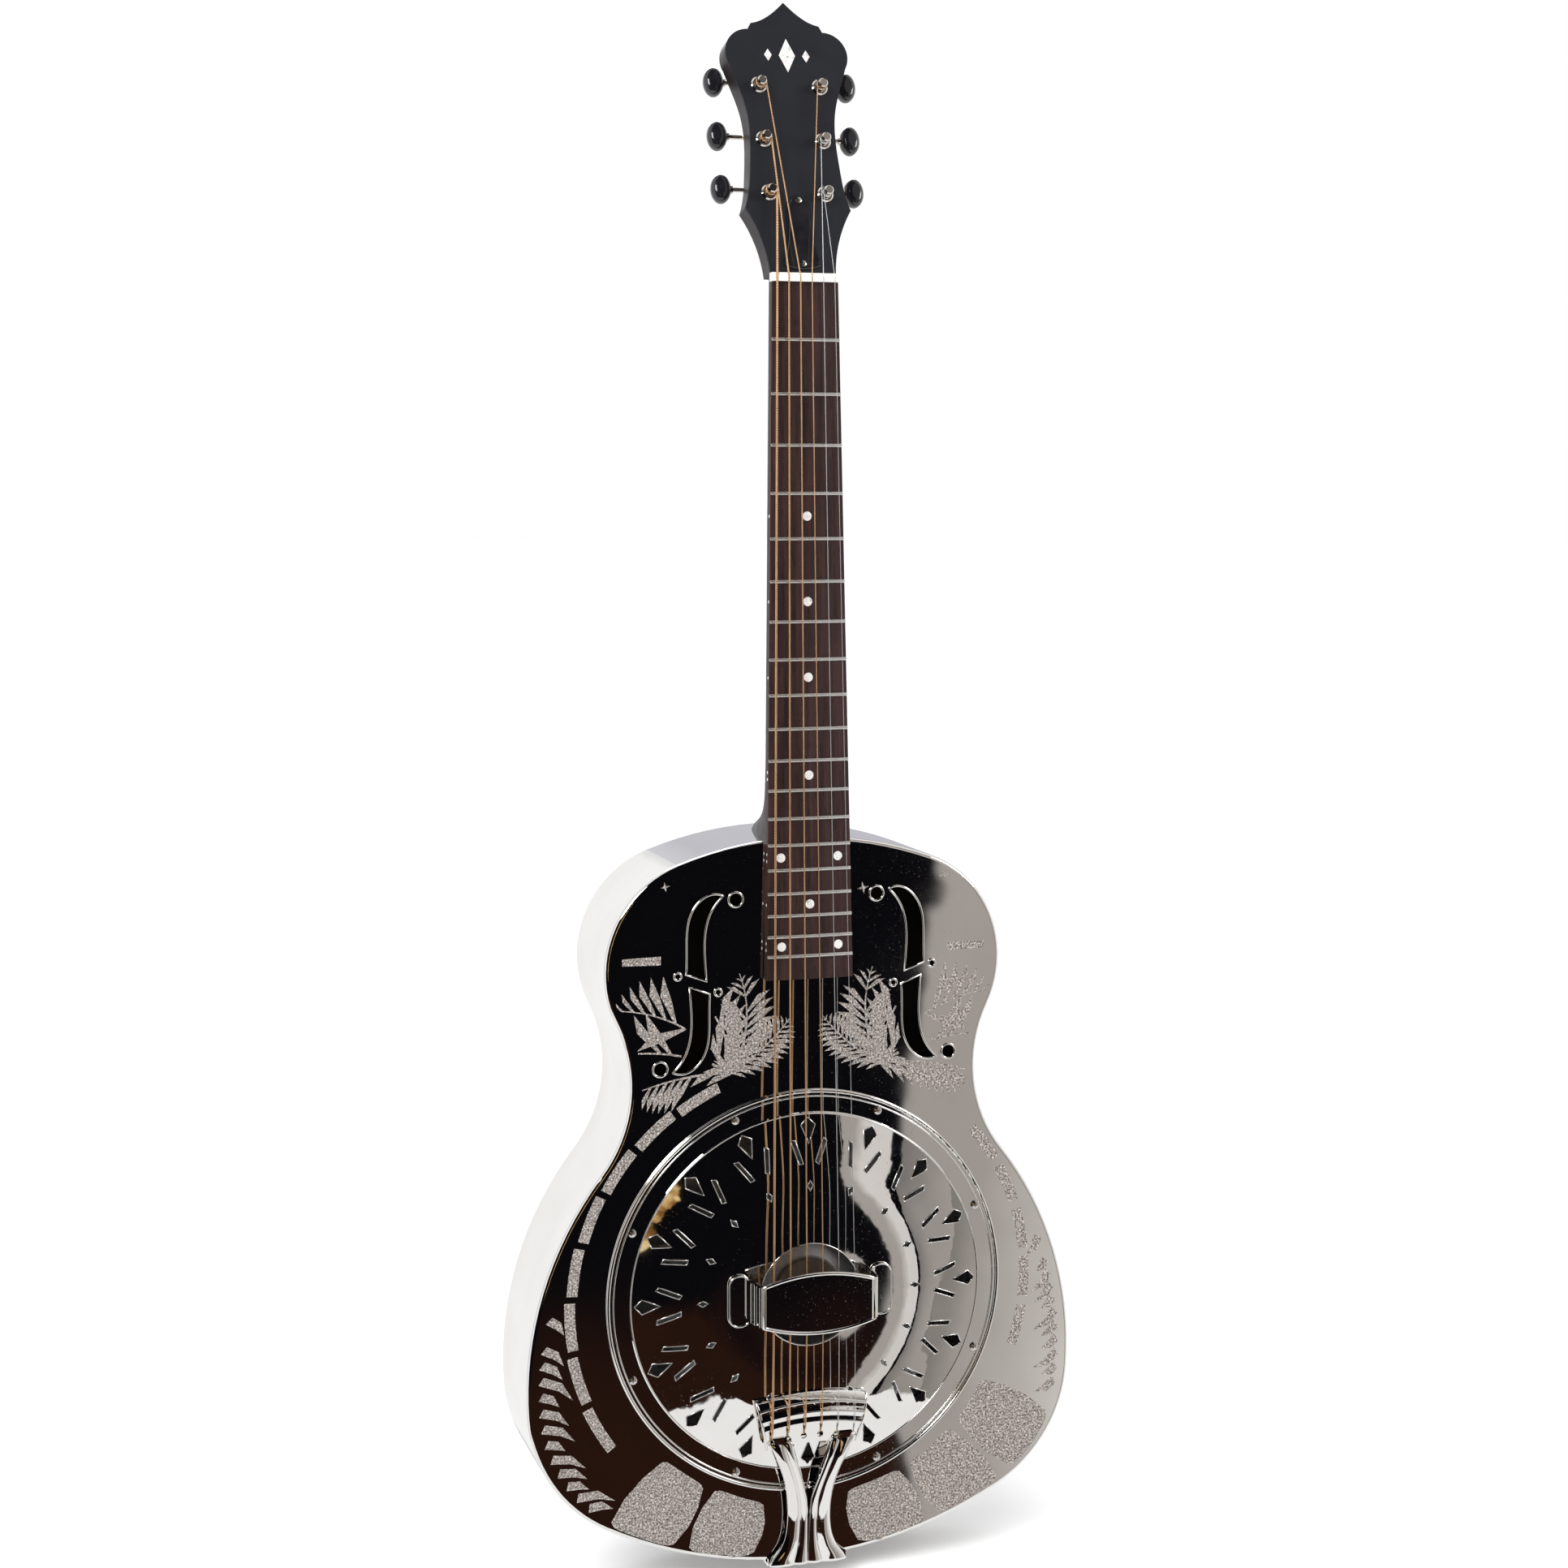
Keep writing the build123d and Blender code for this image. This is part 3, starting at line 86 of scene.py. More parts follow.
def add(tree, kind, inputs=None, **settings):
    """Adds a shader node, sets its options, and links or fills its inputs."""
    node = tree.nodes.new("ShaderNode" + kind)
    for key, value in settings.items():
        setattr(node, key, value)
    for key, value in (inputs or {}).items():
        if isinstance(value, bpy.types.NodeSocket):
            tree.links.new(value, node.inputs[key])
        else:
            node.inputs[key].default_value = value
    return node


def math_node(tree, operation, a, b=0.0):
    """A Math node's result."""
    return add(tree, "Math", {0: a, 1: b}, operation=operation).outputs[0]


def ramp(tree, factor, stops, interpolation="LINEAR"):
    """A colour ramp from (position, colour) stops."""
    node = add(tree, "ValToRGB", {"Fac": factor})
    node.color_ramp.interpolation = interpolation
    points = node.color_ramp.elements
    while len(points) < len(stops):
        points.new(0.5)
    for point, (position, colour) in zip(points, stops):
        point.position = position
        point.color = (*colour, 1)
    return node.outputs["Color"]


def map_range(tree, value, low, high, to_low=0.0, to_high=1.0):
    """A value rescaled smoothly and held at its ends."""
    inputs = {"Value": value, "From Min": low, "From Max": high, "To Min": to_low, "To Max": to_high}
    return add(tree, "MapRange", inputs, interpolation_type="SMOOTHSTEP").outputs["Result"]


def map_linear(tree, value, low, high):
    """A value rescaled in a straight line to 0 to 1."""
    return add(tree, "MapRange", {"Value": value, "From Min": low, "From Max": high}).outputs["Result"]


def mix(tree, factor, a, b):
    """A blend of two colours."""
    return add(tree, "Mix", {0: factor, 6: a, 7: b}, data_type="RGBA").outputs[2]


def object_coordinates(tree, stretch=(1, 1, 1)):
    """Object coordinates in metres, scaled along each axis."""
    coords = add(tree, "TexCoord").outputs["Object"]
    return add(tree, "Mapping", {"Vector": coords, "Scale": stretch}).outputs["Vector"]


def noise(tree, vector, scale, detail=3.0, roughness=0.55):
    """Noise from 0 to 1."""
    inputs = {"Vector": vector, "Scale": scale, "Detail": detail, "Roughness": roughness}
    return add(tree, "TexNoise", inputs).outputs["Fac"]


def bump(tree, height, distance, strength=1.0):
    """A bump normal from a height."""
    inputs = {"Height": height, "Distance": distance, "Strength": strength}
    return add(tree, "Bump", inputs).outputs["Normal"]


def new_material(name, **values):
    """A material with its Principled shader's plain values set, and its node tree."""
    material = bpy.data.materials.new(name)
    material.use_nodes = True
    tree = material.node_tree
    shader = tree.nodes["Principled BSDF"]
    for key, value in values.items():
        socket = key.replace("_", " ").title().replace("Ior", "IOR")
        shader.inputs[socket].default_value = value
    return material, tree, shader


def feed(tree, shader, **sockets):
    """Links sockets to the Principled shader's inputs."""
    for key, socket in sockets.items():
        tree.links.new(socket, shader.inputs[key.replace("_", " ").title()])


# ---------------------------------------------------------------- materials

def mirror_metal(name, bright, dark, roughness):
    """Polished plating: faint tarnish, specks, fine scratches and a slow waviness of the sheet."""
    material, tree, shader = new_material(name, metallic=1.0)
    coords = object_coordinates(tree)
    tarnish = noise(tree, coords, 14, 4)
    feed(tree, shader, base_color=ramp(tree, tarnish, [(0.3, dark), (0.65, bright)]))
    specks = map_range(tree, noise(tree, coords, 900, 1), 0.68, 0.76)
    smears = map_range(tree, noise(tree, coords, 30, 5), 0.35, 0.8, roughness, roughness * 2.2)
    dulled = add(tree, "Math", {0: specks, 1: 0.12, 2: smears}, operation="MULTIPLY_ADD").outputs[0]
    waves = noise(tree, coords, 9, 1)
    feed(tree, shader, roughness=dulled, normal=bump(tree, waves, 0.0004, 0.35))
    return material


def frosted_etch():
    """Sand-blasted nickel: grainy, dull, grey with a little brown."""
    material, tree, shader = new_material("frosted_etch", metallic=0.55)
    coords = object_coordinates(tree)
    grain = noise(tree, coords, 850, 2, 0.7)
    grey, brown, pale = (0.10, 0.088, 0.08), (0.36, 0.32, 0.295), (0.86, 0.80, 0.75)
    feed(tree, shader, base_color=ramp(tree, grain, [(0.35, grey), (0.5, brown), (0.66, pale)]),
         roughness=map_range(tree, grain, 0.3, 0.7, 0.38, 0.62),
         normal=bump(tree, grain, 0.0002, 0.5))
    return material


def brushed(name, colour, roughness, pitch=700.0):
    """Turned or drawn metal with fine marks across the part."""
    material, tree, shader = new_material(name, metallic=1.0)
    marks = noise(tree, object_coordinates(tree, (1, 1, 12)), pitch, 3)
    darker = tuple(0.7 * c for c in colour)
    feed(tree, shader, base_color=ramp(tree, marks, [(0.35, darker), (0.6, colour)]),
         roughness=map_range(tree, marks, 0.3, 0.7, roughness, roughness * 1.8),
         normal=bump(tree, marks, 0.00005, 0.3))
    return material


def wood(name, dark, light, roughness, grain=260.0, pores=0.6, coat=0.0):
    """Wood with streaks along the neck and short open pores."""
    material, tree, shader = new_material(name, coat_weight=coat, coat_roughness=0.25)
    streaks = noise(tree, object_coordinates(tree, (1, 1, 0.035)), grain, 5, 0.6)
    pore_map = noise(tree, object_coordinates(tree, (1, 1, 0.05)), grain * 8, 2)
    pore = map_range(tree, pore_map, 0.56, 0.66)
    middle = tuple((a + b) / 2 for a, b in zip(dark, light))
    colour = ramp(tree, streaks, [(0.3, dark), (0.5, middle), (0.72, light)])
    deep = tuple(0.35 * c for c in dark)
    mixed = mix(tree, math_node(tree, "MULTIPLY", pore, pores), colour, (*deep, 1))
    feed(tree, shader, base_color=mixed, normal=bump(tree, pore, -0.0001, 0.35),
         roughness=map_range(tree, streaks, 0.3, 0.7, roughness, roughness + 0.12))
    return material


def satin(name, colour, roughness, grain=700.0):
    """A dull sprayed finish with a fine orange-peel texture."""
    material, tree, shader = new_material(name)
    coords = object_coordinates(tree)
    cloud = noise(tree, coords, 25, 4)
    darker = tuple(0.72 * c for c in colour)
    feed(tree, shader, base_color=ramp(tree, cloud, [(0.3, darker), (0.7, colour)]),
         roughness=map_range(tree, noise(tree, coords, 60, 3), 0.3, 0.7, roughness, roughness + 0.1),
         normal=bump(tree, noise(tree, coords, grain, 2), 0.00006, 0.25))
    return material


def gloss(name, colour, roughness):
    """Polished plastic with a clear skin and faint hairlines."""
    material, tree, shader = new_material(name, coat_weight=0.6, coat_roughness=0.04)
    coords = object_coordinates(tree)
    haze = noise(tree, coords, 90, 4)
    darker = tuple(0.6 * c for c in colour)
    feed(tree, shader, base_color=ramp(tree, haze, [(0.3, darker), (0.7, colour)]),
         roughness=map_range(tree, haze, 0.35, 0.75, roughness, roughness * 2),
         normal=bump(tree, noise(tree, coords, 500, 2), 0.00003, 0.15))
    return material


def pearl():
    """Mother of pearl: milky cells with green and pink glints."""
    material, tree, shader = new_material("pearl_shell", roughness=0.16, coat_weight=0.5)
    coords = object_coordinates(tree)
    figure = noise(tree, coords, 260, 4, 0.7)
    tints = [(0.32, (0.20, 0.25, 0.23)), (0.45, (0.70, 0.71, 0.67)), (0.58, (0.62, 0.54, 0.55)),
             (0.70, (0.34, 0.44, 0.47))]
    feed(tree, shader, base_color=ramp(tree, figure, tints))
    return material


def winding(name, colour, turns_per_metre):
    """A wire wound round a core: rings along its length, dark between the turns."""
    material, tree, shader = new_material(name, metallic=0.9, roughness=0.36)
    along = object_coordinates(tree)
    rings = add(tree, "TexWave", {"Vector": along, "Scale": turns_per_metre / 6.28, "Distortion": 0.0},
                bands_direction="Z").outputs["Fac"]
    tarnish = noise(tree, along, 40, 3)
    dark = tuple(0.3 * c for c in colour)
    base = ramp(tree, rings, [(0.15, dark), (0.55, colour)])
    aged = ramp(tree, tarnish, [(0.3, (0.78, 0.74, 0.70)), (0.7, (1, 1, 1))])
    mixed = add(tree, "Mix", {0: 1.0, 6: base, 7: aged}, data_type="RGBA", blend_type="MULTIPLY")
    feed(tree, shader, base_color=mixed.outputs[2], normal=bump(tree, rings, 0.0001, 0.6))
    return material


MATERIALS = {
    "nickel_plate": mirror_metal("nickel", (0.93, 0.92, 0.90), (0.86, 0.84, 0.81), 0.016),
    "spun_aluminium": brushed("aluminium", (0.78, 0.78, 0.79), 0.28),
    "maple": wood("raw_maple", (0.55, 0.38, 0.22), (0.80, 0.62, 0.42), 0.55, pores=0.3),
    "screw_steel": brushed("screw_nickel", (0.82, 0.80, 0.77), 0.14),
    "neck_finish": satin("neck_finish", (0.016, 0.011, 0.013), 0.36),
    "black_facing": satin("head_facing", (0.0065, 0.0075, 0.012), 0.5, 1200.0),
    "pearl": pearl(),
    "black_plastic": gloss("black_gloss", (0.012, 0.012, 0.015), 0.08),
    "brass": brushed("machined_brass", (0.78, 0.58, 0.28), 0.25),
    "rosewood": wood("rosewood", (0.009, 0.0035, 0.0035), (0.045, 0.015, 0.013), 0.42, pores=0.8),
    "fret_wire": brushed("fret_metal", (0.95, 0.94, 0.91), 0.26),
    "bone": satin("bone", (0.86, 0.84, 0.77), 0.24),
    "tuner_nickel": mirror_metal("tuner_nickel", (0.84, 0.80, 0.75), (0.72, 0.67, 0.61), 0.07),
    "bronze_winding": winding("bronze_wound", (1.0, 0.62, 0.35), 1900.0),
    "plain_steel": brushed("plain_wire", (0.95, 0.95, 0.96), 0.30),
}
ETCH = frosted_etch()
# painted shade: dull brass darkened almost to black, standing in for the shade inside the body behind the sound
# holes
SHADE_DARK_INSIDE = satin("dull_brass_painted_shade", (0.030, 0.022, 0.012), 0.65)
# painted shade: maple darkened almost to black for the bridge biscuit and saddle, which sit in shade under the
# coverplate's opening
SHADE_DARK_MAPLE = wood("shade_dark_maple", (0.020, 0.014, 0.010), (0.055, 0.038, 0.026), 0.5, pores=0.3)


def dress_cad_nodes():
    """Gives every CAD node the material of its slot in the record, but the bridge biscuit and saddle get maple
    darkened as painted shade.
    """
    for subpart in frame["record"]["subparts"]:
        node = frame["nodes"][subpart["node"]]
        node.data.materials.clear()
        # the bridge biscuit and saddle get maple darkened as painted shade
        painted_dark = subpart["node"] in ("bridge_biscuit", "saddle")
        node.data.materials.append(SHADE_DARK_MAPLE if painted_dark else MATERIALS[subpart["material_slot"]])


# ---------------------------------------------------------------- piece helpers

def finish_piece(piece, material, body="guitar"):
    """Puts a new piece in the scene, on its body."""
    piece.data.materials.append(material)
    bpy.context.scene.collection.objects.link(piece)
    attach(piece, body)
    return piece


def mesh_piece(name, mesh_builder, material, smooth=False):
    """A piece from a bmesh."""
    data = bpy.data.meshes.new(name)
    mesh_builder.to_mesh(data)
    mesh_builder.free()
    if smooth:
        data.shade_smooth()
    return finish_piece(bpy.data.objects.new(name, data), material)


def tube_piece(name, paths, radius, material, closed=True, body="guitar"):
    """Round wire along one or more paths."""
    curve = bpy.data.curves.new(name, "CURVE")
    curve.dimensions = "3D"
    curve.bevel_depth = radius
    curve.bevel_resolution = 3
    for path in paths:
        spline = curve.splines.new("POLY")
        spline.points.add(len(path) - 1)
        for point, place in zip(spline.points, path):
            point.co = (*place, 1)
        spline.use_cyclic_u = closed
    curve.use_fill_caps = not closed
    return finish_piece(bpy.data.objects.new(name, curve), material, body)


def hole_loops(node):
    """The front edges of a node's holes and outlines, as closed loops of points."""
    work = bmesh.new()
    work.from_mesh(frame["nodes"][node].data)
    bmesh.ops.remove_doubles(work, verts=work.verts, dist=0.002 * MM)
    neighbours = {}
    for edge in work.edges:
        slopes = sorted(face.normal.y for face in edge.link_faces)
        if len(slopes) == 2 and slopes[0] < -0.8 and -0.3 < slopes[1] < 0.3:
            a, b = (tuple(vert.co) for vert in edge.verts)
            neighbours.setdefault(a, []).append(b)
            neighbours.setdefault(b, []).append(a)
    work.free()
    loops = []
    while neighbours:
        start = next(iter(neighbours))
        loop, here = [start], start
        while neighbours.get(here):
            there = neighbours[here].pop()
            neighbours[there].remove(here)
            loop.append(there)
            here = there
        for place in loop:
            if not neighbours.get(place):
                neighbours.pop(place, None)
        if len(loop) > 3:
            loops.append([Vector(place) for place in loop[:-1]])
    return loops


def loop_radius(loop, centre):
    """The least and greatest distance of a loop from a centre, in the face's plane."""
    reach = [math.hypot(place.x - centre.x, place.z - centre.z) for place in loop]
    return min(reach), max(reach)


# ---------------------------------------------------------------- rims

def face_point(x, z, height):
    """A point over the body's face, from millimetres across, up and out of it."""
    return (x * MM, FACE_Y - height * MM, z * MM)


def ring_path(radius, height, centre_z, steps=160):
    """A circle about the coverplate's centre."""
    turns = [2 * math.pi * i / steps for i in range(steps)]
    return [face_point(radius * math.cos(t), centre_z + radius * math.sin(t), height) for t in turns]


def make_rims():
    """Rolled edges of the sound holes, the coverplate and its cut-outs."""
    nickel = MATERIALS["nickel_plate"]
    sound_holes = [loop for loop in hole_loops("body_top")
                   if loop_radius(loop, COVER_CENTRE)[0] > BEYOND_COVER]
    tube_piece("sound_hole_rims", sound_holes, 0.75 * MM, nickel)
    cutouts = []
    for loop in hole_loops("coverplate"):
        nearest, farthest = loop_radius(loop, COVER_CENTRE)
        if nearest > CUTOUT_BAND[0] and farthest < CUTOUT_BAND[1]:
            cutouts.append(loop)
    tube_piece("cutout_rims", cutouts, 0.34 * MM, nickel)
    middle = COVER_CENTRE.z / MM
    beads = (("cover_inner_bead", 128.6, 1.1, 0.55), ("cover_foot_line", 117.6, 2.2, 0.40),
             ("cover_opening_rim", 33.5, 8.8, 0.45))
    for name, radius, height, wire in beads:
        tube_piece(name, [ring_path(radius, height, middle)], wire * MM, nickel)
    return sound_holes


def handrest_outline(steps=24):
    """The bowed outline of the handrest's plate, in millimetres from its centre."""
    end, corner, middle = HANDREST_PLATE
    upper = []
    for i in range(steps + 1):
        share = 2 * i / steps - 1
        upper.append((end * share, corner + (middle - corner) * (1 - share ** 2)))
    return upper + [(-x, -z) for x, z in upper]


def foot_outline():
    """The rounded outline of one foot of the handrest, in millimetres from its centre."""
    half_x, half_z, corner = HANDREST_FOOT
    outline = []
    for sign_x, sign_z, start in ((1, 1, 0), (-1, 1, 90), (-1, -1, 180), (1, -1, 270)):
        for step in range(7):
            turn = math.radians(start + 15 * step)
            outline.append((sign_x * (half_x - corner) + corner * math.cos(turn),
                            sign_z * (half_z - corner) + corner * math.sin(turn)))
    return outline


def make_handrest_trim():
    """The thick rounded rim of the handrest's plate, its stepped legs and the edges of its feet."""
    nickel = MATERIALS["nickel_plate"]
    middle = COVER_CENTRE.z / MM
    rim = [face_point(x, middle + z, 28.6) for x, z in handrest_outline()]
    tube_piece("handrest_rim", [rim], 1.15 * MM, nickel)
    ribs = []
    for side in (-1, 1):
        for x, height in ((38.9, 26.0), (40.6, 21.0), (41.5, 15.6)):
            ribs.append([face_point(side * x, middle + z, height) for z in (-13.0, 0, 13.0)])
    tube_piece("handrest_ribs", ribs, 0.85 * MM, nickel, closed=False)
    feet = [[face_point(side * 47.75 + x, middle + z, 10.4) for x, z in foot_outline()] for side in (-1, 1)]
    tube_piece("handrest_foot_edges", feet, 0.6 * MM, nickel)


# ---------------------------------------------------------------- tailpiece

def smooth_path(table, at):
    """The value at a place along a table of (place, value) rows, on a smooth curve through them."""
    rows = sorted(table)
    last = len(rows) - 1
    i = min(max(bisect_left(rows, (at,)) - 1, 0), last - 1)

    def slope(k):
        low, high = rows[max(k - 1, 0)], rows[min(k + 1, last)]
        return (high[1] - low[1]) / (high[0] - low[0])

    (x0, y0), (x1, y1) = rows[i], rows[i + 1]
    gap = x1 - x0
    t = (at - x0) / gap
    return ((2 * t ** 3 - 3 * t ** 2 + 1) * y0 + (t ** 3 - 2 * t ** 2 + t) * gap * slope(i)
            + (3 * t ** 2 - 2 * t ** 3) * y1 + (t ** 3 - t ** 2) * gap * slope(i + 1))


LEG_INNER = ((-1.5, 0.3), (14, 0.4), (30, 0.6), (42, 1.2), (50, 3.4), (60, 6.6), (78, 12.2), (88, 14.8))
LEG_OUTER = ((-1.5, 26.0), (3, 23.6), (10, 18.6), (20, 15.2), (38, 14.4), (58, 17.6), (78, 25.4), (88, 30.2))
LEG_HEIGHT = ((-1.5, 2.5), (3, 2.6), (14, 3.0), (30, 3.8), (46, 5.8), (62, 9.0), (78, 11.9), (88, 12.6))


def leg_relief(across):
    """The cast leg's surface over its plate: a rounded inner rib, a groove and a broad outer rib."""
    if across < 0.36:
        return 1.7 * math.sin(math.pi * across / 0.36) ** 0.8
    return 2.1 * math.sin(math.pi * (across - 0.36) / 0.64) ** 0.7


def make_tailpiece_legs(columns=40, rows=56):
    """The relief of the two tailpiece legs, which meet below and flare out over the fixing plate."""
    work = bmesh.new()
    for side in (-1, 1):
        grid = []
        for row in range(rows + 1):
            share = row / rows
            z = 86.5 * share - 1.5
            fade = min(1.0, 7 * (1 - share)) ** 0.6
            inner, outer = smooth_path(LEG_INNER, z), smooth_path(LEG_OUTER, z)
            line = []
            for column in range(columns + 1):
                across = column / columns
                x = inner + (outer - inner) * across
                height = smooth_path(LEG_HEIGHT, z) + 0.3 + fade * leg_relief(across)
                line.append(work.verts.new(face_point(side * x, z, height + fade)))
            grid.append(line)
        for lower, upper in zip(grid, grid[1:]):
            for column in range(columns):
                work.faces.new((lower[column], lower[column + 1], upper[column + 1], upper[column]))
    bmesh.ops.recalc_face_normals(work, faces=work.faces)
    piece = mesh_piece("tailpiece_leg_relief", work, MATERIALS["nickel_plate"], smooth=True)
    shell = piece.modifiers.new("shell", "SOLIDIFY")
    shell.thickness = 1.3 * MM
    shell.offset = 0


def make_tailpiece_beads():
    """Raised beads along the tailpiece's crossbar and round its two ends."""
    middle_z, bend, half_span = TAIL_BAR
    centre_z = middle_z - bend
    reach = math.asin(half_span / bend)

    def bar_point(offset, turn, height):
        radius = bend + offset
        return face_point(radius * math.sin(turn), centre_z + radius * math.cos(turn), height)

    beads = []
    for offset, height in ((-3.2, 15.1), (3.2, 15.8), (9.6, 15.2)):
        turns = [reach * (i / 12 - 1) for i in range(25)]
        beads.append([bar_point(offset, turn, height) for turn in turns])
    section = ((-17.5, 11.3), (-12, 13.0), (-5.5, 14.7), (0, 15.4), (6.5, 15.2), (12.6, 13.7), (15.0, 11.3))
    for side in (-1, 1):
        beads.append([bar_point(offset, side * reach, height) for offset, height in section])
    tube_piece("tailpiece_beads", beads, 0.85 * MM, MATERIALS["nickel_plate"], closed=False)


# ---------------------------------------------------------------- inside of the body

def make_inner_lining():
    """A very dark sheet on the inside of the back, seen through the sound holes: dull unplated brass, darkened as
    painted shade for the shaded inside of the body.
    """
    edge = outline_half_widths()
    work = bmesh.new()
    inner_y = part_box("body_back")[1].y - 1.8 * MM
    beside_stick, margin, end_margin = 0.0175, 0.006, 0.008
    bottom, top = edge[0][0], edge[-1][0]
    for side in (-1, 1):
        spots = [(beside_stick, bottom + margin)]
        spots += [(half - margin, z) for z, half in edge if half > 0.03 and end_margin < z < top - end_margin]
        spots.append((beside_stick, top - margin))
        corners = [work.verts.new((side * x, inner_y, z)) for x, z in spots]
        face = work.faces.new(corners)
        made = bmesh.ops.extrude_face_region(work, geom=[face])
        moved = [item for item in made["geom"] if isinstance(item, bmesh.types.BMVert)]
        bmesh.ops.translate(work, verts=moved, vec=(0, -0.3 * MM, 0))
    bmesh.ops.recalc_face_normals(work, faces=work.faces)
    mesh_piece("inner_lining_painted_shade", work, SHADE_DARK_INSIDE)


# ---------------------------------------------------------------- etched ornament

def frond(root, heading, length, droop, count=13):
    """A fern frond: a bent rib with narrowing leaflets on both sides."""
    shapes = []
    place, angle = Vector(root), heading
    step = length / count
    for index in range(count):
        share = index / (count - 1)
        along = Vector((math.cos(angle), math.sin(angle)))
        across = Vector((-along.y, along.x))
        leaf = length * 0.36 * math.sin(math.pi * (0.16 + 0.80 * share)) ** 0.8
        for side in (-1, 1):
            tip = place + leaf * (0.62 * along + 0.78 * side * across)
            belly = place + 0.5 * (tip - place) + 0.07 * leaf * along
            shapes.append([place + 0.1 * step * along, belly + 0.13 * leaf * along, tip,
                           belly - 0.13 * leaf * along, place - 0.18 * step * along])
        width = 0.9 * (1 - 0.7 * share) * MM
        ahead = place + step * along
        shapes.append([place - width * across, ahead - width * across,
                       ahead + width * across, place + width * across])
        place = ahead
        angle += droop / count
    return shapes


def ring_segment(inner, outer, start, end):
    """A piece of a ring about the coverplate's centre, with angles in degrees."""
    steps = max(2, int(abs(end - start) / 2))
    angles = [math.radians(start + (end - start) * i / steps) for i in range(steps + 1)]
    spots = [(outer, a) for a in angles] + [(inner, a) for a in reversed(angles)]
    return [Vector((r * math.cos(a), COVER_CENTRE.z + r * math.sin(a))) for r, a in spots]


def sparkle(x, z, size):
    """A small four-pointed star."""
    spots = [(size if i % 2 == 0 else 0.3 * size, math.radians(45 * i + 10)) for i in range(8)]
    return [Vector((x + r * math.cos(a), z + r * math.sin(a))) for r, a in spots]


def reach_at(inside, turn):
    """How far from the coverplate's centre the flat of the face goes in one direction, by halving."""
    low, high = 0.136, 0.30
    for _ in range(22):
        middle = (low + high) / 2
        spot = Vector((middle * math.cos(turn), COVER_CENTRE.z + middle * math.sin(turn)))
        low, high = (middle, high) if inside(spot) else (low, middle)
    return low


def blade(inside, degree, length, lean):
    """A short tapered stroke that grows inward from the edge of the face."""
    turn = math.radians(degree)
    start = reach_at(inside, turn) - 0.0045
    root = Vector((start * math.cos(turn), COVER_CENTRE.z + start * math.sin(turn)))
    inward = Vector((-math.cos(turn + lean), -math.sin(turn + lean)))
    across = Vector((-inward.y, inward.x))
    bend = length * 0.12 * across
    return [root - 0.0030 * across, root + length * 0.55 * inward - 0.0026 * across + bend,
            root + length * inward, root + length * 0.5 * inward + 0.0028 * across + bend,
            root + 0.0030 * across]


def paving(inside, start, end):
    """One large patch between the coverplate and the edge of the face."""
    steps = 14
    outer, inner = [], []
    for i in range(steps + 1):
        share = 2 * i / steps - 1
        turn = math.radians(start + (end - start) * i / steps)
        low, high = 0.1400, reach_at(inside, turn) - 0.0015
        if high - low < 0.006:
            return []
        rounded = (high - low) * 0.36 * (1 - math.sqrt(1 - abs(share) ** 9))
        wobble = 0.0012 * math.sin(9 * turn + start)
        outer.append((high - rounded, turn))
        inner.append((low + rounded * 0.9 + wobble + 0.0012, turn))
    ring = outer + inner[::-1]
    return [Vector((r * math.cos(t), COVER_CENTRE.z + r * math.sin(t))) for r, t in ring]


def fern(side):
    """The fronds that grow from one root above the coverplate."""
    root = (side * 0.050, COVER_CENTRE.z + 0.147)
    shapes = []
    for turn, length, droop in ((-1.05, 0.052, 0.4), (-0.50, 0.066, 0.9), (0.05, 0.072, 1.0),
                                (0.60, 0.094, 1.0), (1.10, 0.092, 0.7), (1.55, 0.070, 0.4)):
        shapes += frond(root, math.pi / 2 - side * turn, length, -side * droop)
    return shapes


def sky(side):
    """Small stars and stacked bars beside the upper sound holes."""
    shapes = []
    for x, z, size in ((0.118, 0.244, 0.0062), (0.038, 0.262, 0.0040), (0.093, 0.268, 0.0032)):
        shapes.append(sparkle(side * x, COVER_CENTRE.z + z, size))
    for row, (left, right) in enumerate(((0.101, 0.126), (0.096, 0.121), (0.104, 0.129))):
        z = COVER_CENTRE.z + 0.226 - 0.0075 * row
        shapes.append([Vector((side * left, z)), Vector((side * right, z + 0.0006)),
                       Vector((side * right, z + 0.0050)), Vector((side * left, z + 0.0056))])
    return shapes


def ornament_layers(inside):
    """The frosted ornament: ferns, stars, bars, a broken ring, paving and short blades."""
    bass_ring = [ring_segment(0.1460 + 0.0014 * i, 0.1530 + 0.0014 * i, 113 + 13 * i, 124.4 + 13 * i)
                 for i in range(9)]
    treble_ring = [ring_segment(0.1480, 0.1550, 12.5 * i - 44, 12.5 * i - 33.8) for i in range(7)]
    patches = [paving(inside, start, end) for start, end in
               ((226, 242), (243, 259.5), (280.5, 298), (299, 315), (316, 331))]
    blades = []
    for index in range(20):
        length = 0.019 + 0.006 * math.sin(2.3 * index)
        blades.append(blade(inside, 166 + 3.1 * index, length, -0.85))
        blades.append(blade(inside, 8 - 2.9 * index, length * 0.8, 0.85))
    return [sky(-1) + sky(1), patches, bass_ring + treble_ring, blades, fern(-1), fern(1)]


def outline_half_widths():
    """The body's outline as rows of (height, half width), from its side band."""
    spots = sorted((vert.co.z, vert.co.x) for vert in frame["nodes"]["body_sides"].data.vertices
                   if vert.co.x > 0.02)
    rows = []
    for z, x in spots:
        if rows and z - rows[-1][0] < 0.0015:
            rows[-1] = (rows[-1][0], max(rows[-1][1], x))
        else:
            rows.append((z, x))
    return rows


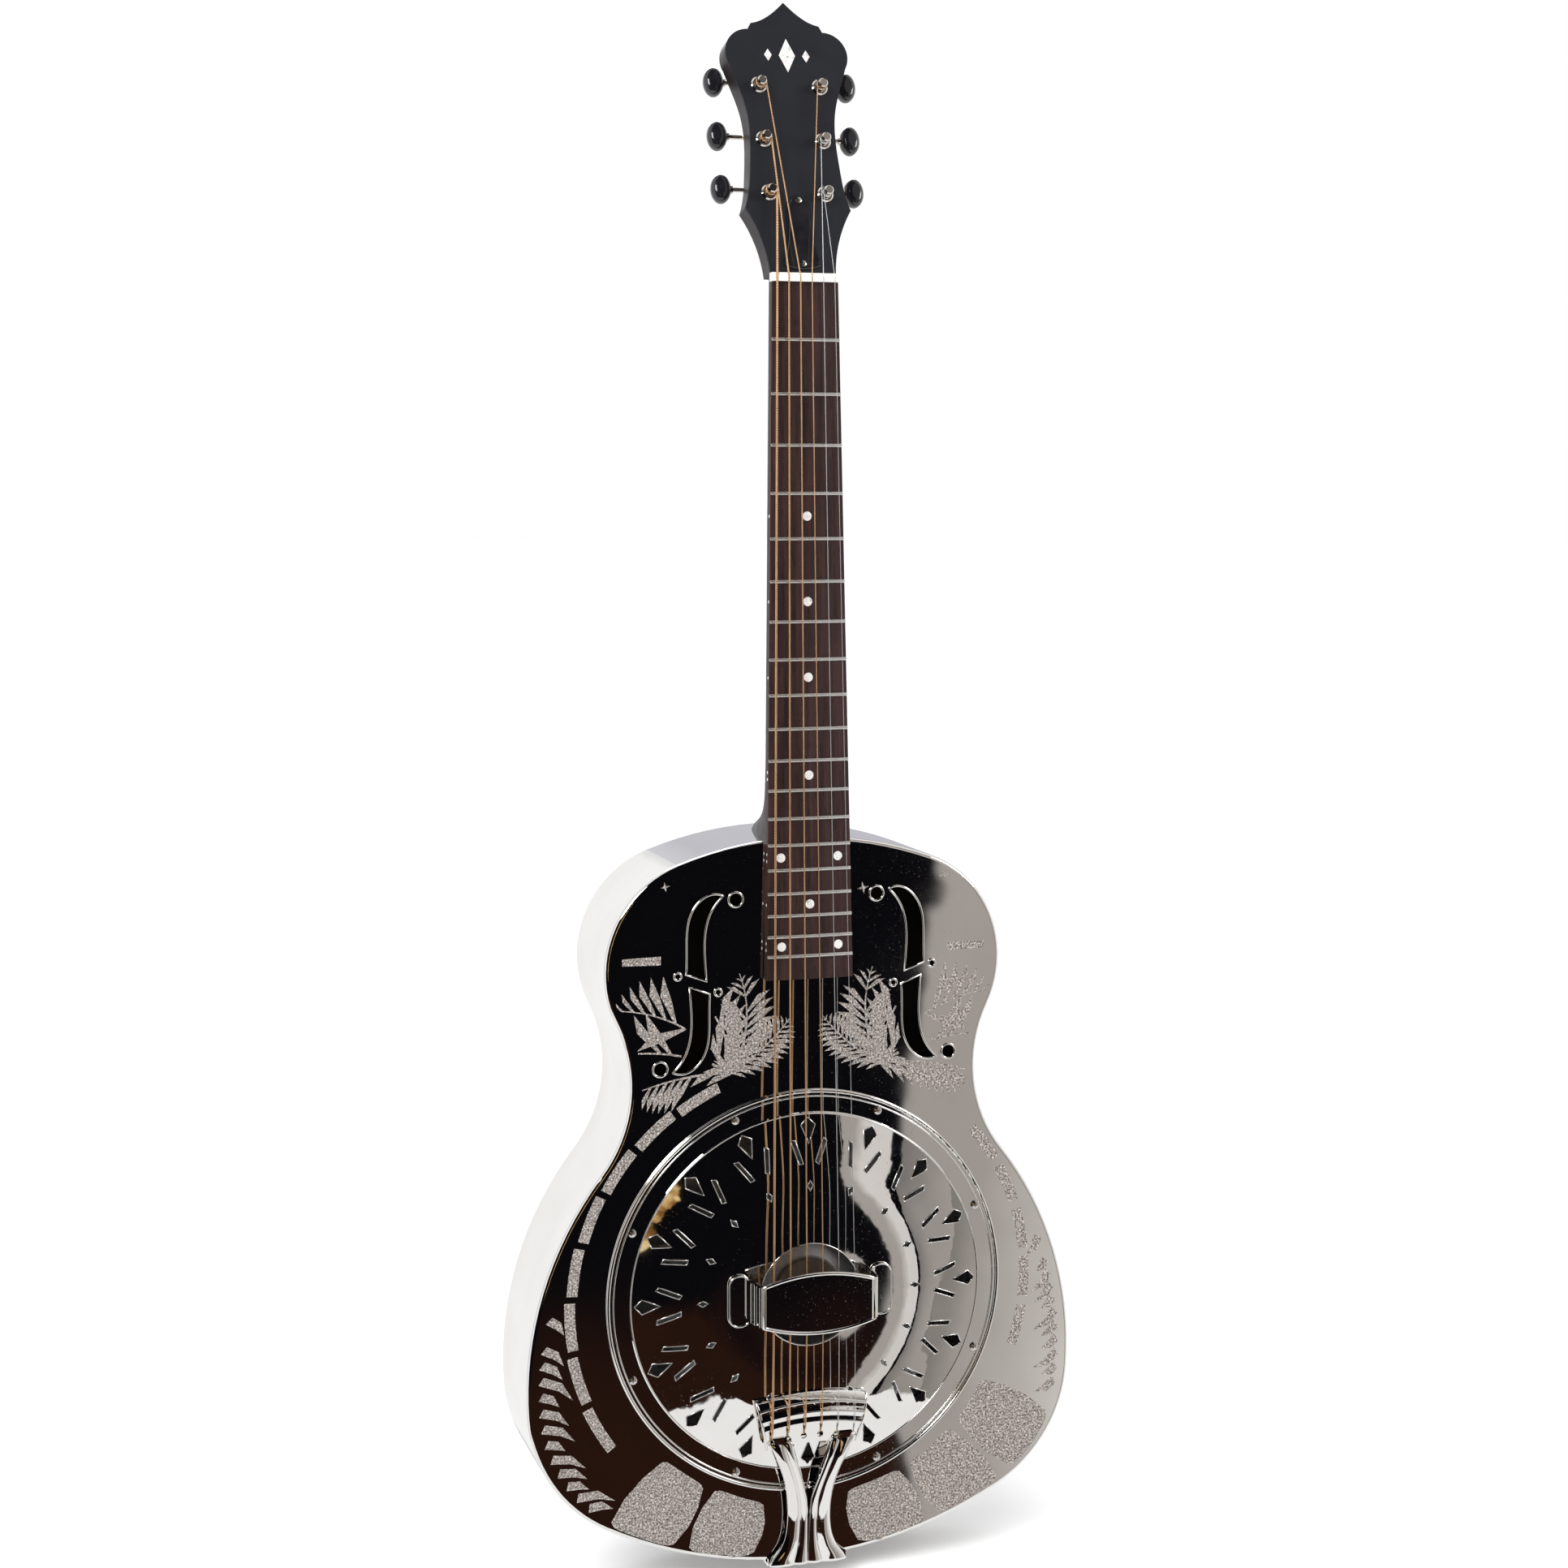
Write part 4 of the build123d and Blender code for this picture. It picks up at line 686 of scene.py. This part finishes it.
def body_outline_test():
    """A test for points on the flat of the face, clear of the coverplate and fingerboard."""
    rows = outline_half_widths()
    heights = [z for z, _ in rows]

    def inside(spot):
        if abs(spot.x) < BOARD_CLEAR[0] and spot.y > board_low.z - BOARD_CLEAR[1]:
            return False
        if abs(spot.x) < TAIL_CLEAR[0] and spot.y < TAIL_CLEAR[1]:
            return False
        if math.hypot(spot.x, spot.y - COVER_CENTRE.z) < COVER_RADIUS + 0.001:
            return False
        above = bisect_left(heights, spot.y)
        if not 0 < above < len(rows):
            return False
        (z0, x0), (z1, x1) = rows[above - 1], rows[above]
        edge = x0 + (x1 - x0) * (spot.y - z0) / (z1 - z0)
        return abs(spot.x) < edge - EDGE_MARGIN and END_MARGIN < spot.y < heights[-1] - END_MARGIN

    return inside


def surrounds(outline, spot):
    """Whether a flat outline goes round a point."""
    crossings = 0
    for a, b in zip(outline, outline[1:] + outline[:1]):
        if (a.y > spot.y) != (b.y > spot.y):
            crossings += spot.x < a.x + (b.x - a.x) * (spot.y - a.y) / (b.y - a.y)
    return crossings % 2 == 1


def overlap(shape, other):
    """Whether two flat outlines cover each other anywhere, judged at corners and middles of edges."""
    gap = (shape["centre"] - other["centre"]).length
    if gap > shape["reach"] + other["reach"]:
        return False
    return (any(surrounds(other["outline"], spot) for spot in shape["rim"])
            or any(surrounds(shape["outline"], spot) for spot in other["rim"]))


def measured(outline):
    """An outline with its rim points, centre and reach."""
    rim = outline + [(a + b) / 2 for a, b in zip(outline, outline[1:] + outline[:1])]
    centre = sum(outline, Vector((0, 0))) / len(outline)
    return {"outline": outline, "rim": rim, "centre": centre,
            "reach": max((spot - centre).length for spot in outline)}


def hole_test(loops):
    """A test for points in or close to the sound holes."""
    outlines = [[Vector((spot.x, spot.z)) for spot in loop] for loop in loops]
    edge_spots = []
    for outline in outlines:
        for a, b in zip(outline, outline[1:] + outline[:1]):
            steps = max(1, int((b - a).length / MM))
            edge_spots += [a.lerp(b, step / steps) for step in range(steps)]
    tree = KDTree(len(edge_spots))
    for index, spot in enumerate(edge_spots):
        tree.insert((spot.x, spot.y, 0), index)
    tree.balance()

    def blocked(spot):
        near_edge = tree.find((spot.x, spot.y, 0))[2] < HOLE_CLEARANCE
        return near_edge or any(surrounds(outline, spot) for outline in outlines)

    return blocked


def make_ornament(sound_holes):
    """The ornament as a thin frosted skin on the face, clear of the sound holes.

    A shape that covers an earlier layer is left out. Within a layer each shape stands a little higher
    than the last, so that no two faces lie in one plane where they cross.
    """
    inside, blocked = body_outline_test(), hole_test(sound_holes)
    work = bmesh.new()
    taken = []
    for layer in ornament_layers(inside):
        kept = []
        for outline in layer:
            if not outline or not all(inside(spot) for spot in outline):
                continue
            shape = measured(outline)
            if any(blocked(spot) for spot in shape["rim"]):
                continue
            if any(overlap(shape, other) for other in taken):
                continue
            kept.append(shape)
            height = 0.04 + 0.0012 * (len(kept) % 100)
            corners = [work.verts.new((spot.x, FACE_Y - height * MM, spot.y)) for spot in outline]
            made = bmesh.ops.extrude_face_region(work, geom=[work.faces.new(corners)])
            moved = [item for item in made["geom"] if isinstance(item, bmesh.types.BMVert)]
            bmesh.ops.translate(work, verts=moved, vec=(0, 0.16 * MM + height * MM / 4, 0))
        taken += kept
    bmesh.ops.recalc_face_normals(work, faces=work.faces)
    mesh_piece("etched_ornament", work, ETCH)


# ---------------------------------------------------------------- strings on their posts

def make_string_windings():
    """The turns of each string round its post."""
    for index, diameter in enumerate(STRING_DIAMETERS):
        number = index + 1
        joint = JOINTS[f"post_turn_{number}"]
        centre = Vector(joint["pos_m"])
        normal = Vector(joint["axis"]).normalized()
        across = Vector((1, 0, 0))
        along = normal.cross(across).normalized()
        side = 1 if centre.x < 0 else -1
        wire = diameter / 2 * MM
        post_radius = 2.4 * MM
        turns = max(1.6, 1.35 / diameter)
        drop = min(diameter * 1.04, 1.35 / turns) * MM
        steps = int(28 * turns)
        path = []
        for step in range(steps + 1):
            share = step / steps * turns
            angle = side * 2 * math.pi * share
            slack = 0.35 * MM * max(0.0, 1 - 4 * share)
            reach = (post_radius + wire + slack + 0.02 * MM) * side
            height = 7.4 * MM - drop * share
            path.append(centre + height * normal + reach * math.cos(angle) * across
                        + reach * math.sin(angle) * along)
        slot = "bronze_winding" if index < 4 else "plain_steel"
        tube_piece(f"string_turns_{number}", [path], wire, MATERIALS[slot], closed=False,
                   body=f"string_post_{number}")


# ---------------------------------------------------------------- stage

WHITE, PALE, GREY, DIM = (0.95, 0.95, 0.95), (0.66, 0.63, 0.61), (0.38, 0.35, 0.33), (0.20, 0.185, 0.175)
SHADE, LAVENDER, BLACK = (0.42, 0.42, 0.44), (0.56, 0.56, 0.61), (0.003, 0.003, 0.004)


def make_world():
    """A white room with a dark side in front of the guitar, for the mirror finish to reflect."""
    world = bpy.data.worlds.new("studio")
    bpy.context.scene.world = world
    world.use_nodes = True
    tree = world.node_tree
    direction = add(tree, "TexCoord").outputs["Generated"]
    x, y, z = add(tree, "SeparateXYZ", {0: direction}).outputs
    slow = math_node(tree, "SUBTRACT", noise(tree, direction, 4.0, 1), 0.5)
    quick = math_node(tree, "SUBTRACT", noise(tree, direction, 17, 3), 0.5)
    bent = math_node(tree, "ARCTAN2", x, math_node(tree, "MULTIPLY", y, -1.0))
    for wave, amount in ((slow, 0.10), (quick, 0.035)):
        bent = math_node(tree, "ADD", bent, math_node(tree, "MULTIPLY", wave, amount))
    height = math_node(tree, "ADD", math_node(tree, "ARCSINE", z), math_node(tree, "MULTIPLY", quick, 0.06))
    room = walls(tree, bent, ((-180, WHITE), (-152, WHITE), (-148, SHADE), (-136, LAVENDER), (-128, SHADE),
                              (-124, WHITE), (-75, WHITE), (-66, BLACK), (30, BLACK), (40, GREY), (62, PALE),
                              (85, WHITE), (124, WHITE), (128, SHADE), (148, SHADE), (164, LAVENDER),
                              (171, LAVENDER), (178, WHITE), (180, WHITE)))
    front = walls(tree, bent, ((18, BLACK), (20.55, BLACK), (20.7, GREY), (22.3, GREY), (24.2, PALE),
                               (28.3, PALE), (28.4, BLACK), (29.6, BLACK), (29.7, DIM), (36, GREY)))
    in_front = {0: bent, 1: math.radians(27), 2: math.radians(9)}
    room = mix(tree, add(tree, "Math", in_front, operation="COMPARE").outputs[0], room, front)
    skirting = map_range(tree, height, math.radians(-16), math.radians(-20))
    for outside, within in ((20.6, 20.4), (-75, -66)):
        edge = map_range(tree, bent, math.radians(outside), math.radians(within))
        skirting = math_node(tree, "MULTIPLY", skirting, edge)
    room = mix(tree, skirting, room, (0.020, 0.008, 0.005, 1))
    gold = ramp(tree, noise(tree, direction, 34, 4), [(0.36, (0.16, 0.07, 0.02)), (0.5, (0.50, 0.29, 0.10)),
                                                      (0.62, (0.80, 0.62, 0.33))])
    room = mix(tree, golden_patch(tree, direction), room, gold)
    on_floor = map_range(tree, height, math.radians(-30.5), math.radians(-30.8))
    room = mix(tree, on_floor, room, (0.88, 0.88, 0.88, 1))
    seen = add(tree, "LightPath").outputs["Is Camera Ray"]
    tree.links.new(mix(tree, seen, room, (1, 1, 1, 1)), tree.nodes["Background"].inputs["Color"])


def walls(tree, angle, stops):
    """The room's colours by direction: degrees from straight in front, positive to the treble side."""
    first, last = stops[0][0], stops[-1][0]
    share = map_linear(tree, angle, math.radians(first), math.radians(last))
    return ramp(tree, share, [((degree - first) / (last - first), colour) for degree, colour in stops])


def golden_patch(tree, direction):
    """How much of a small warm lamp glow shows in a direction, low on the bass side."""
    towards = Vector((-0.135, -0.99, -0.035)).normalized()
    near = add(tree, "VectorMath", {0: direction, 1: towards}, operation="DOT_PRODUCT").outputs["Value"]
    ragged = math_node(tree, "MULTIPLY", noise(tree, direction, 14, 3), 0.03)
    return map_range(tree, math_node(tree, "ADD", near, ragged), 1.0043, 1.0055)


def make_lights():
    """A broad sun that whitens the floor, and soft boxes that put highlights on every rounded edge."""
    target = Vector((0, 0, 0.5))
    sun = bpy.data.lights.new("broad_sun", "SUN")
    sun.energy = 3.1
    sun.angle = math.radians(60)
    lamps = [(sun, Vector((-1.2, -1.6, 3.2)), False)]
    soft_boxes = (((-1.7, -1.5, 1.9), 26, 0.9), ((1.9, -1.1, 1.5), 14, 0.8), ((0.3, 1.8, 2.0), 16, 1.2))
    for number, (place, power, size) in enumerate(soft_boxes):
        box = bpy.data.lights.new(f"soft_box_{number}", "AREA")
        box.energy = power
        box.size = size
        lamps.append((box, Vector(place), True))
    for light, place, mirrored in lamps:
        lamp = bpy.data.objects.new(light.name, light)
        lamp.location = place
        lamp.rotation_euler = (target - place).to_track_quat("-Z", "Y").to_euler()
        lamp.visible_glossy = mirrored
        bpy.context.scene.collection.objects.link(lamp)


def make_floor():
    """A plain pale floor under the strap button, in the same white as the room."""
    work = bmesh.new()
    bmesh.ops.create_circle(work, cap_ends=True, radius=40, segments=96)
    data = bpy.data.meshes.new("floor")
    work.to_mesh(data)
    work.free()
    floor = bpy.data.objects.new("floor", data)
    floor.location.z = cad_low.z
    material, tree, shader = new_material("floor", roughness=0.9)
    tint = noise(tree, object_coordinates(tree), 0.6, 2)
    feed(tree, shader, base_color=ramp(tree, tint, [(0.3, (0.86, 0.86, 0.86)), (0.7, (0.89, 0.89, 0.89))]))
    data.materials.append(material)
    floor.visible_glossy = False
    bpy.context.scene.collection.objects.link(floor)


def make_camera():
    """The camera at the photograph's viewing angle, from a fitted pose."""
    data = bpy.data.cameras.new("camera")
    data.lens = 60.73
    data.sensor_width = 36
    camera = bpy.data.objects.new("camera", data)
    camera.location = (-0.5045, -1.6301, 0.6932)
    camera.rotation_euler = Vector((0.2926, 0.9500, -0.1092)).to_track_quat("-Z", "Y").to_euler()
    bpy.context.scene.collection.objects.link(camera)
    bpy.context.scene.camera = camera


make_camera()
make_world()
make_lights()
make_floor()
dress_cad_nodes()
holes = make_rims()
make_ornament(holes)
make_handrest_trim()
make_tailpiece_legs()
make_tailpiece_beads()
make_inner_lining()
make_string_windings()
bpy.context.scene.view_settings.view_transform = "Standard"
